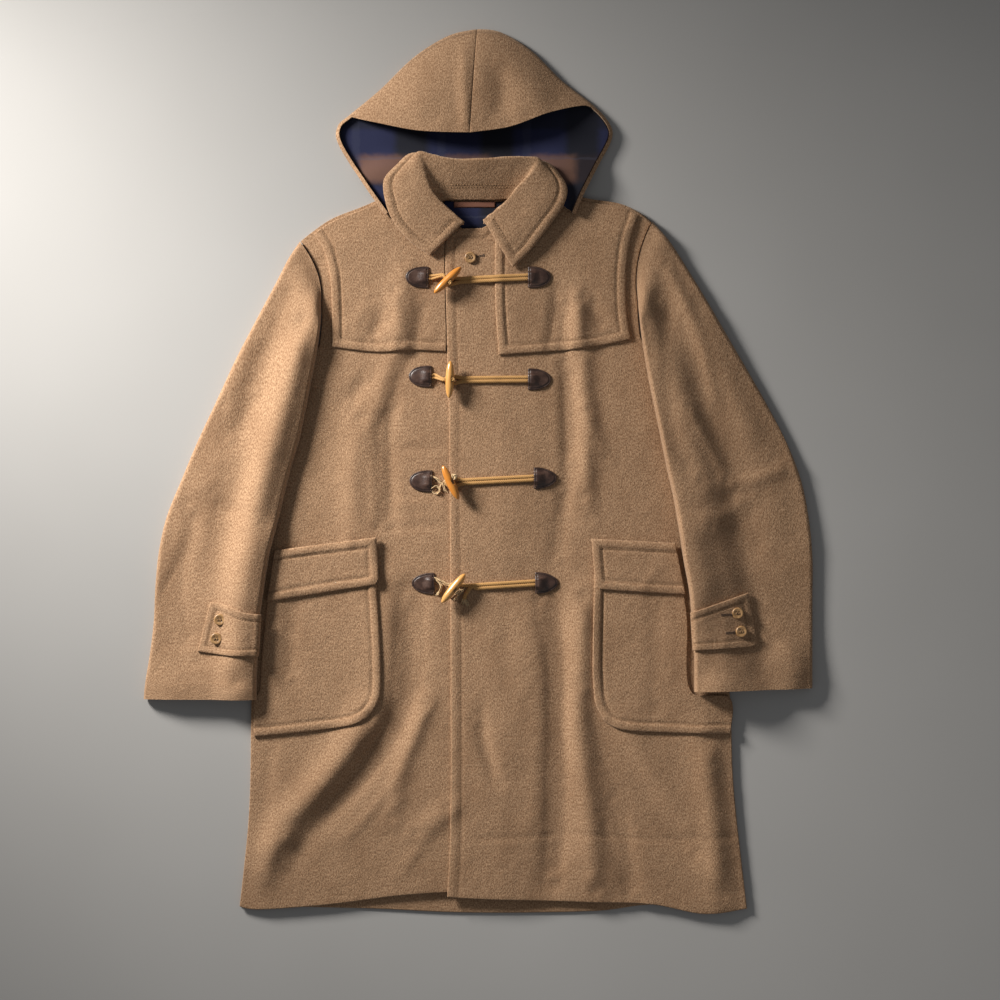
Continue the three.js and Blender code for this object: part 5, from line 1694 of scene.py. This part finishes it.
def make_toggle(row, material):
    """A spindle of rings along its own direction, with its slot on the upper side that is away from the
    patch."""
    along, across = toggle_ways(row)
    t = np.sin(np.linspace(-np.pi / 2, np.pi / 2, 61))
    angle = np.linspace(0, 2 * np.pi, TOGGLE_SIDES, endpoint=False)
    radius = TOGGLE_RADIUS * np.maximum(1 - np.abs(t) ** 2.7, 1e-4)[:, None] ** 0.58
    bell = ((t[:, None] * TOGGLE_LENGTH / 2) / 3.6) ** 4 + ((angle - SLOT_UP) * TOGGLE_RADIUS / 1.7) ** 4
    slot = np.exp(-bell)
    knobbly = 1 + 0.02 * uneven(t[:, None] * 3 + 7 * row, angle[None] / 2, 1.0, 31)
    radius = radius * knobbly - 1.9 * slot
    out = across * np.cos(angle)[:, None] + np.array([0, 0, 1]) * np.sin(angle)[:, None]
    centre = toggle_middle(row) + along * (t * TOGGLE_LENGTH / 2)[:, None]
    points = (centre[:, None] + radius[..., None] * out).reshape(-1, 3)
    quads = tube_quads(points, len(t), TOGGLE_SIDES)
    uv = tube_uv(quads, len(t), TOGGLE_SIDES, TOGGLE_LENGTH, 2 * math.pi * TOGGLE_RADIUS)
    # Painted shade in the slot, from the same bell as its dent
    mesh = mesh_from("toggle_%d_horn" % (row + 1), points, quads, uv, 0.95 * slot)
    return piece(mesh, material, "horn", "toggle_%d" % (row + 1))


for toggle_row, horn in enumerate((AMBER, HONEY, AMBER, HONEY)):
    make_toggle(toggle_row, horn)

# %% [markdown]
# ## The toggles' own cords
# Each toggle hangs on a thinner cord from the right patch. On the two upper rows it is still a neat
# pair of strands. On the two lower rows it has frayed to pale yarn, with a knot at the toggle.

# %% Upper two rows
STEM = 3.8


def stem_marks(row, offset):
    """From under the right patch to the toggle, and into its slot."""
    right_x, right_y = FASTENINGS[row][0]
    middle, across = toggle_middle(row), toggle_ways(row)[1]
    start = right_x + PATCH_WIDTH / 2 + GAP
    x, y = np.array([start - CORD_COVER, start, start + 5]), np.full(3, right_y + offset)
    z = rest_height(x, y, STEM) + STEM / 2 + np.array([-0.3, 0.3, 0.6])
    steps = ((9.5, -1.4), (5, -0.4), (0, 0.4))
    near = [middle - across * reach + np.array([0, offset * 0.45, rise]) for reach, rise in steps]
    return np.vstack([np.column_stack([x, y, z]), near])


for stem_row in range(2):
    for strand, offset in (("upper", 2.05), ("lower", -2.05)):
        declared_cord(
            "toggle_cord_%d_%s" % (stem_row + 1, strand), stem_marks(stem_row, offset), STEM, "object",
            ["toggle_cord_%d" % (stem_row + 1)] if strand == "upper" else [], flat_ends=(True, False),
        )

# %% Knots
# Each row: the toggle's number, how far the knot lies across, along and above its middle, and its size
# and cord
KNOTS = [
    (0, 4.6, 0.0, 3.6, 0.75, 2.0, BRAID),
    (1, 4.4, 0.0, 3.6, 0.75, 2.0, BRAID),
    (2, 7.6, 5.0, 1.6, 1.15, 2.5, YARN),
]


def knot_path(centre, size, turn):
    """A trefoil knot, laid flat: radius 2 + cos(3p) at the angle 2p, and height 0.8 sin(3p)."""
    p = np.linspace(0, 2 * np.pi, 90)
    radius, angle = 2 + np.cos(3 * p), 2 * p + turn
    places = [radius * np.cos(angle), radius * np.sin(angle), 0.8 * np.sin(3 * p)]
    return centre + size * np.stack(places, axis=-1)


def make_knot(row, out, shift, rise, size, width, material):
    """A thin cord along a trefoil, beside a toggle."""
    along, across = toggle_ways(row)
    centre = toggle_middle(row) + across * out + along * shift + np.array([0, 0, rise])
    path = knot_path(centre, size, 0.4 + row)
    points, quads = tube(path, width / 2, 10)
    uv = tube_uv(quads, len(path), 10, 40.0, math.pi * width)
    mesh = mesh_from("toggle_knot_%d" % (row + 1), points, quads, uv, np.zeros(len(points)))
    return piece(mesh, material, "cord")


for knot in KNOTS:
    make_knot(*knot)

# %% Frayed yarn
# Each row: the fastening's number, the yarn's route as x and y, how far it splays, how many threads
FRAYED = [
    (3, [(-66.0, -7.0), (-57.0, -11.0), (-48.0, -18.0), (-40.0, -15.0)], 2.6, 11),
    (3, [(-65.0, -24.0), (-58.0, -21.0), (-53.0, -26.0), (-58.0, -31.0), (-65.0, -28.0)], 1.8, 8),
    (3, [(-54.0, -25.0), (-50.0, -17.0), (-44.0, -12.0), (-38.0, -12.0)], 2.0, 8),
    (3, [(-50.0, -17.0), (-46.0, -24.0), (-43.0, -31.0)], 2.4, 6),
    (4, [(-60.0, -147.0), (-52.0, -151.0), (-42.0, -156.0), (-32.0, -154.0)], 2.4, 11),
    (4, [(-58.0, -150.0), (-51.0, -158.0), (-54.0, -168.0), (-61.0, -171.0)], 2.6, 10),
    (4, [(-40.0, -174.0), (-31.0, -168.0), (-24.0, -163.0)], 2.8, 8),
    (4, [(-33.0, -177.0), (-27.0, -170.0), (-20.0, -161.0)], 2.6, 8),
    (4, [(-19.0, -174.0), (-18.0, -179.0), (-15.0, -185.0)], 3.2, 14),
    (4, [(-20.0, -175.0), (-22.0, -179.0), (-23.0, -182.0)], 3.0, 8),
]
YARN_RADIUS = 0.42


def threads_along(route, splay, count, seed):
    """Thin threads near a route. Each keeps its own place in the bundle, wanders a little and splays at
    the end."""
    random = np.random.default_rng(seed)
    path = curve(route, 1.2)
    z = rest_height(path[:, 0], path[:, 1], 1.0)
    along = np.linspace(0, 1, len(path))
    parts = []
    for _ in range(count):
        waves = []
        for _ in range(3):
            place, size = random.uniform(-1, 1), random.uniform(0.4, 1.3)
            turns, start = random.uniform(4, 11), random.uniform(0, 6)
            waves.append(place + size * np.sin(along * turns + start))
        loose = splay * (0.35 + 0.65 * along)
        aside, ahead = (0.6 * loose * wave for wave in waves[:2])
        own = np.stack([path[:, 0] + aside, path[:, 1] + ahead, z + 1.0 + 1.3 * np.abs(waves[2])], axis=-1)
        keep = max(6, round(len(own) * random.uniform(0.7, 1.0)))
        cap = round_edge(np.minimum(np.arange(keep), np.arange(keep)[::-1]) + 0.3, 1.5)
        parts.append(tube(own[:keep], (YARN_RADIUS * cap)[:, None], 6))
    return parts


for yarn_row in (3, 4):
    bundles = [
        part for number, (row, route, splay, count) in enumerate(FRAYED) if row == yarn_row
        for part in threads_along(route, splay, count, 40 + number)
    ]
    yarn_points, yarn_quads = gathered(bundles)
    yarn_node = "toggle_cord_%d" % yarn_row
    yarn_mesh = mesh_from(yarn_node + "_yarn", yarn_points, yarn_quads, yarn_points[yarn_quads][..., :2])
    piece(yarn_mesh, YARN, "cord", yarn_node)

# %% Sewing thread
def make_thread(name, color, dark):
    finish = Finish(name, Roughness=0.75)
    twist = finish.noise(finish.place(), 900.0, 2.0)
    return finish.paint(finish.mix(twist, color, dark), None, twist, 0.3, 0.0002)


WOOL_THREAD = make_thread("thread_camel", (0.40, 0.245, 0.125), (0.21, 0.115, 0.052))
PALE_THREAD = make_thread("thread_pale", (0.66, 0.50, 0.31), (0.44, 0.29, 0.15))
DARK_THREAD = make_thread("thread_dark", (0.10, 0.06, 0.04), (0.035, 0.018, 0.012))

# %% [markdown]
# ## Buttons
# A button is a disc with a raised rim, a dished middle and four holes. A round grid would have a pole
# in the middle, just where the holes are, so a square grid is rounded into a disc instead: (u, v) goes
# to (u * sqrt(1 - v^2 / 2), v * sqrt(1 - u^2 / 2)).

# %% Buttons
BUTTON_RADIUS = 8.0
BUTTON_THICK = 3.2
HOLE = 1.75
BUTTONS = {
    "cuff_button_right_1": (-354, -204),
    "cuff_button_right_2": (-359, -230),
    "cuff_button_left_1": (355, -195),
    "cuff_button_left_2": (360, -220),
    "neck_button": (-11, 293),
}


def make_button_horn():
    finish = Finish("button_horn", Coat_Weight=0.3, Coat_Roughness=0.25)
    cloud = finish.noise(finish.place((1, 1, 1)), 260.0, 3.0)
    color = finish.mix(cloud.ramp(0.3, 0.7), (0.24, 0.125, 0.045), (0.42, 0.245, 0.105))
    # Painted shade in the four holes
    color = finish.mix(finish.shade(), color, (0.018, 0.009, 0.005))
    return finish.paint(color, cloud * 0.2 + 0.32, cloud, 0.1, 0.0004)


BUTTON_HORN = make_button_horn()


def make_button(name, place):
    """A disc between its own solid's heights, and two bars of thread through its four holes."""
    low, high = (np.array(corner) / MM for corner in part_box(name))
    line = np.sin(np.linspace(-np.pi / 2, np.pi / 2, 9)) * 0.02
    row = np.concatenate([-1 + line[4:], np.linspace(-0.97, 0.97, 33), 1 + line[:5]])
    u, v = np.meshgrid(row, row)
    x, y = BUTTON_RADIUS * u * np.sqrt(1 - v**2 / 2), BUTTON_RADIUS * v * np.sqrt(1 - u**2 / 2)
    radius = np.hypot(x, y)
    holes = np.minimum.reduce([np.hypot(x - a, y - b) for a in (-HOLE, HOLE) for b in (-HOLE, HOLE)])
    hole = 1 - smoothstep(holes, 0.75, 1.15)
    full = round_edge(BUTTON_RADIUS - radius, 1.1)
    rim = 0.32 * np.exp(-((radius - 6.3) ** 2)) - 0.4 * (1 - smoothstep(radius, 2.5, 5.4))
    middle, half = (low[2] + high[2]) / 2, BUTTON_THICK / 2
    spot = x + place[0], y + place[1]
    top = middle + half + rim - 1.7 * hole
    # Painted shade in the holes
    mesh = layered(name + "_horn", *spot, full, middle - half, top, 0.95 * hole, middle, (x, y))
    piece(mesh, BUTTON_HORN, "button", name)
    share = np.linspace(-1, 1, 9)
    bar_z = middle + half + 0.25 - 1.3 * np.abs(share) ** 6
    bar_y = place[1] + share * (HOLE + 0.2)
    bars = [np.stack([np.full(9, place[0] + a), bar_y, bar_z], axis=-1) for a in (-HOLE, HOLE)]
    points, quads = gathered([tube(bar, 0.42, 6) for bar in bars])
    piece(mesh_from(name + "_thread", points, quads, points[quads][..., :2]), WOOL_THREAD, "cord")


for button_name, button_place in BUTTONS.items():
    make_button(button_name, button_place)

# %% [markdown]
# ## Stitches
# A row of stitches is a row of short threads, each a tiny tube that dips into the cloth at both ends. A
# thread needs few faces because there are over a thousand of them. Each row runs a fixed distance
# inside its edge and stops where it meets the next edge's row.

# %% Threads
STITCH_LENGTH = 2.7
STITCH_PITCH = 4.0
STITCH_RADIUS = 0.42


def threads_between(starts, ends, radius):
    """One short thread from each start to each end: three rings of four points, the end ones smaller."""
    ahead = ends - starts
    level = np.cross([0, 0, 1.0], ahead)
    level /= np.maximum(np.linalg.norm(level, axis=1, keepdims=True), 1e-6)
    upwards = np.cross(ahead, level)
    upwards /= np.linalg.norm(upwards, axis=1, keepdims=True)
    rings = []
    for share, size, rise in ((0.0, 0.45, -0.25), (0.5, 1.0, 0.1), (1.0, 0.45, -0.25)):
        middle = starts + share * ahead + np.array([0, 0, rise])
        for turn in np.pi / 4 + np.arange(4) * np.pi / 2:
            rings.append(middle + radius * size * (np.cos(turn) * level + np.sin(turn) * upwards))
    points = np.stack(rings, axis=1)
    quads = tube_quads(points[0], 3, 4)
    every = (quads[None] + 12 * np.arange(len(points))[:, None, None]).reshape(-1, 4)
    return points.reshape(-1, 3), every


def stitches_on(line, pitch=STITCH_PITCH, length=STITCH_LENGTH):
    """Start and end places of stitches along a line, evenly spaced."""
    total = length_of(line)
    middles = np.arange(pitch / 2, total - pitch / 2, pitch)
    return [spaced(line, (middles + sign * length / 2) / total) for sign in (-1, 1)]


def laid_threads(start, end, top, lift, radius=STITCH_RADIUS):
    """Threads between two rows of places, a little above a surface."""
    ends = [np.column_stack([p, top(p[:, 0], p[:, 1]) + lift]) for p in (start, end)]
    return threads_between(*ends, radius)


def sewn_rows(edges, distance, top, middle, pitch=STITCH_PITCH):
    """Rows of stitches a distance inside each edge, dropped where another edge is nearer than that."""
    sets = []
    for edge in edges:
        start, end = stitches_on(moved_in(np.asarray(edge), distance, middle), pitch)
        keep = nearest(edges, *((start + end) / 2).T) > distance - 0.25
        if keep.any():
            sets.append(laid_threads(start[keep], end[keep], top, 0.2))
    return sets


def make_threads(name, sets, material=WOOL_THREAD, slot="wool"):
    points, quads = gathered(sets)
    print(name, len(quads) // 10, "stitches")
    return piece(mesh_from(name, points, quads, points[quads][..., :2]), material, slot)


# %% Topstitching of the body
for sewn_name, sewn_edges in STITCHED.items():
    if sewn_edges:
        sewn_middle = outline_of(PANELS[sewn_name][0]).mean(axis=0)
        sewn_top = lambda x, y: panel_top(sewn_name, x, y)
        make_threads(sewn_name + "_stitches", sewn_rows(sewn_edges, WELT, sewn_top, sewn_middle))

# %% Topstitching of the tabs
for sewn_side in TABS:
    tab_middle = outline_of(TABS[sewn_side]).mean(axis=0)
    sewn_top = lambda x, y: tab_top(sewn_side, x, y)
    tab_sets = sewn_rows(tab_edges(sewn_side), TAB_WELT, sewn_top, tab_middle, 3.6)
    make_threads("cuff_tab_%s_stitches" % sewn_side, tab_sets)

# %% Topstitching of the collar
collar_sets = []
for seam_line in COLLAR_SEAMS:
    starts, ends = stitches_on(seam_line)
    up = np.array([0, 0, 0.25])
    collar_sets.append(threads_between(starts + up, ends + up, STITCH_RADIUS))
make_threads("collar_stitches", collar_sets)

# %% Buttonholes
front_top = lambda x, y: panel_top("front_left", x, y)
left_tab_top = lambda x, y: tab_top("left", x, y)
# Each row: its name, one end, the other end, and the height of what it lies on
BUTTONHOLES = [
    ("neck_buttonhole", (-3.5, 294.0), (7.0, 296.2), front_top),
    ("tab_buttonhole_1", (332.0, -197.0), (346.5, -197.0), left_tab_top),
    ("tab_buttonhole_2", (338.5, -222.0), (350.0, -221.0), left_tab_top),
]


def make_buttonhole(name, start, end, top):
    """Short threads side by side across both lips of a slit, and a bar across its far end."""
    start, end = np.array(start), np.array(end)
    ahead = (end - start) / np.linalg.norm(end - start)
    aside = np.array([-ahead[1], ahead[0]])
    along = np.linspace(0, 1, max(8, round(np.linalg.norm(end - start) / 0.75)))[:, None]
    slit = start + along * (end - start)
    lips = [[slit + side * aside * reach for reach in (0.15, 1.5)] for side in (-1, 1)]
    sets = [laid_threads(*lip, top, 0.15) for lip in lips]
    bar = [np.array([end + ahead * step + aside * side * 2.3 for step in (0.2, 0.9)]) for side in (-1, 1)]
    sets.append(laid_threads(*bar, top, 0.2, 0.5))
    return make_threads(name, sets, DARK_THREAD)


for buttonhole in BUTTONHOLES:
    make_buttonhole(*buttonhole)

# %% Pick stitches of the front edge
pick_line = moved_in(FRONT_LEFT["left"], 3.0, (100, 0))
pick_stitches = laid_threads(*stitches_on(pick_line, 5.2, 1.7), front_top, 0.1, 0.36)
make_threads("front_edge_pick_stitches", [pick_stitches], PALE_THREAD)

# %% Seams of the patches
def sew_patch(side, row):
    """Dark stitches round the free edge of a patch, and camel ones along its straight side."""
    middle, _, sides = patch_place(side, row)
    top = lambda x, y: patch_relief(side, row, x, y)[1]
    free = np.vstack([sides["bottom"], sides["right"][1:], sides["top"][::-1][1:]])
    edges = [free, sides["left"]]
    for kind, edge, thread in zip(("round", "straight"), edges, (DARK_THREAD, WOOL_THREAD)):
        start, end = stitches_on(moved_in(edge, 2.3, middle), 2.6, 1.9)
        keep = nearest(edges, *((start + end) / 2).T) > 2.0
        name = "patch_%s_%d_%s_seam" % (side, row + 1, kind)
        make_threads(name, [laid_threads(start[keep], end[keep], top, 0.15, 0.32)], thread, "leather")


for seam_side in ("right", "left"):
    for seam_row in range(len(FASTENINGS)):
        sew_patch(seam_side, seam_row)

# %% [markdown]
# ## The cut of each piece
# A garment is flat cloth before it is sewn. Each cloth piece is listed with the rectangle that it is
# cut from, and its real area is printed, which is half the area of its closed mesh, because a mesh has
# both faces of the cloth. A sleeve's cut goes all round it, and each half of the hood runs from the
# mouth over the fold to the neck.

# %% Sheet sizes
def area_of(thing):
    """Half the surface of a closed mesh, in square metres."""
    sizes = np.zeros(len(thing.data.polygons))
    thing.data.polygons.foreach_get("area", sizes)
    return sizes.sum() / 2


def declare_sheets(cuts):
    """Prints each piece's flat size and area; what it lies on is listed but not read."""
    for name, (width, length, under) in cuts.items():
        thing = PIECES[name]
        area = min(area_of(thing), 0.98 * width * length)
        print(name, width, "x", length, "m, area", round(area, 4))


declare_sheets({
    "back_cloth": (0.74, 1.01, []),
    "front_right_cloth": (0.38, 0.96, ["back"]),
    "front_left_cloth": (0.42, 0.99, ["front_right"]),
    "yoke_right_cloth": (0.19, 0.23, ["front_right"]),
    "yoke_left_cloth": (0.20, 0.23, ["front_left"]),
    "pocket_right_cloth": (0.19, 0.28, ["front_right"]),
    "pocket_left_cloth": (0.21, 0.28, ["front_left"]),
    "flap_right_cloth": (0.16, 0.10, ["pocket_right"]),
    "flap_left_cloth": (0.14, 0.09, ["pocket_left"]),
    "sleeve_right_cloth": (0.40, 0.71, ["front_right"]),
    "sleeve_left_cloth": (0.40, 0.73, ["front_left"]),
    "cuff_tab_right_cloth": (0.09, 0.08, ["sleeve_right"]),
    "cuff_tab_left_cloth": (0.09, 0.08, ["sleeve_left"]),
    "hood_right_cloth": (0.28, 0.36, ["back"]),
    "hood_left_cloth": (0.28, 0.36, ["back"]),
    "hood_lining_cloth": (0.55, 0.36, ["hood_right", "hood_left"]),
    "neck_lining_cloth": (0.11, 0.06, ["back"]),
    "neck_strip_cloth": (0.06, 0.01, ["neck_lining"]),
    "collar_cloth": (0.46, 0.10, ["front_right", "front_left"]),
})

# %% [markdown]
# ## The stage
# A plain pale floor, one large soft light from the upper left of the picture, as in the photograph, and
# a weaker fill. The camera looks straight down from 3 m.

# %% Floor, lights and camera
VIEW_MIDDLE = (0.0297, -0.0400)
VIEW_HEIGHT = 3.0
VIEW_WIDTH = 1.38
SENSOR = 36.0


def make_stage():
    size = 40.0
    corners = np.array([(-size, -size, 0), (size, -size, 0), (size, size, 0), (-size, size, 0)]) / MM / 2
    floor = bpy.data.objects.new("floor", mesh_from("floor", corners, np.array([[0, 1, 2, 3]])))
    bpy.context.scene.collection.objects.link(floor)
    finish = Finish("floor_paint", Roughness=0.8)
    tone = finish.noise(finish.place(), 3.0, 2.0)
    floor.data.materials.append(finish.paint(finish.mix(tone, (0.37, 0.36, 0.345), (0.42, 0.41, 0.395))))
    floor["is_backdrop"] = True


def make_light(name, place, aim, size, power, color, spread=180):
    """A square soft light at a place, facing what it is aimed at, with a beam of that many degrees."""
    lamp = bpy.data.lights.new(name, "AREA")
    lamp.spread = math.radians(spread)
    lamp.size = size
    lamp.energy = power
    lamp.color = color
    thing = bpy.data.objects.new(name, lamp)
    thing.location = place
    direction = np.array(aim, float) - np.array(place, float)
    yaw = math.atan2(direction[1], direction[0]) - math.pi / 2
    tilt = math.atan2(math.hypot(direction[0], direction[1]), -direction[2])
    thing.rotation_euler = (tilt, 0, yaw)
    bpy.context.scene.collection.objects.link(thing)


def make_camera():
    camera = bpy.data.cameras.new("camera")
    camera.sensor_width = SENSOR
    camera.lens = SENSOR * VIEW_HEIGHT / VIEW_WIDTH
    thing = bpy.data.objects.new("camera", camera)
    thing.location = (*VIEW_MIDDLE, VIEW_HEIGHT)
    bpy.context.scene.collection.objects.link(thing)
    bpy.context.scene.camera = thing


make_stage()
make_light("window", (-1.50, 1.05, 0.74), (-0.06, -0.20, 0), 0.45, 13.4, (1.0, 0.97, 0.93), 68)
make_light("fill", (1.2, -1.6, 2.2), (0, 0, 0), 2.2, 3, (0.93, 0.96, 1.0))
make_camera()
world = bpy.data.worlds.new("room")
world.use_nodes = True
world.node_tree.nodes["Background"].inputs["Color"].default_value = (0.95, 0.97, 1.0, 1)
world.node_tree.nodes["Background"].inputs["Strength"].default_value = 0.15
bpy.context.scene.world = world
bpy.context.scene.view_settings.view_transform = "Standard"

# %% Measure and finish
{"cad": cad_box, "visual": [list(corner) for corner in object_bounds()]}
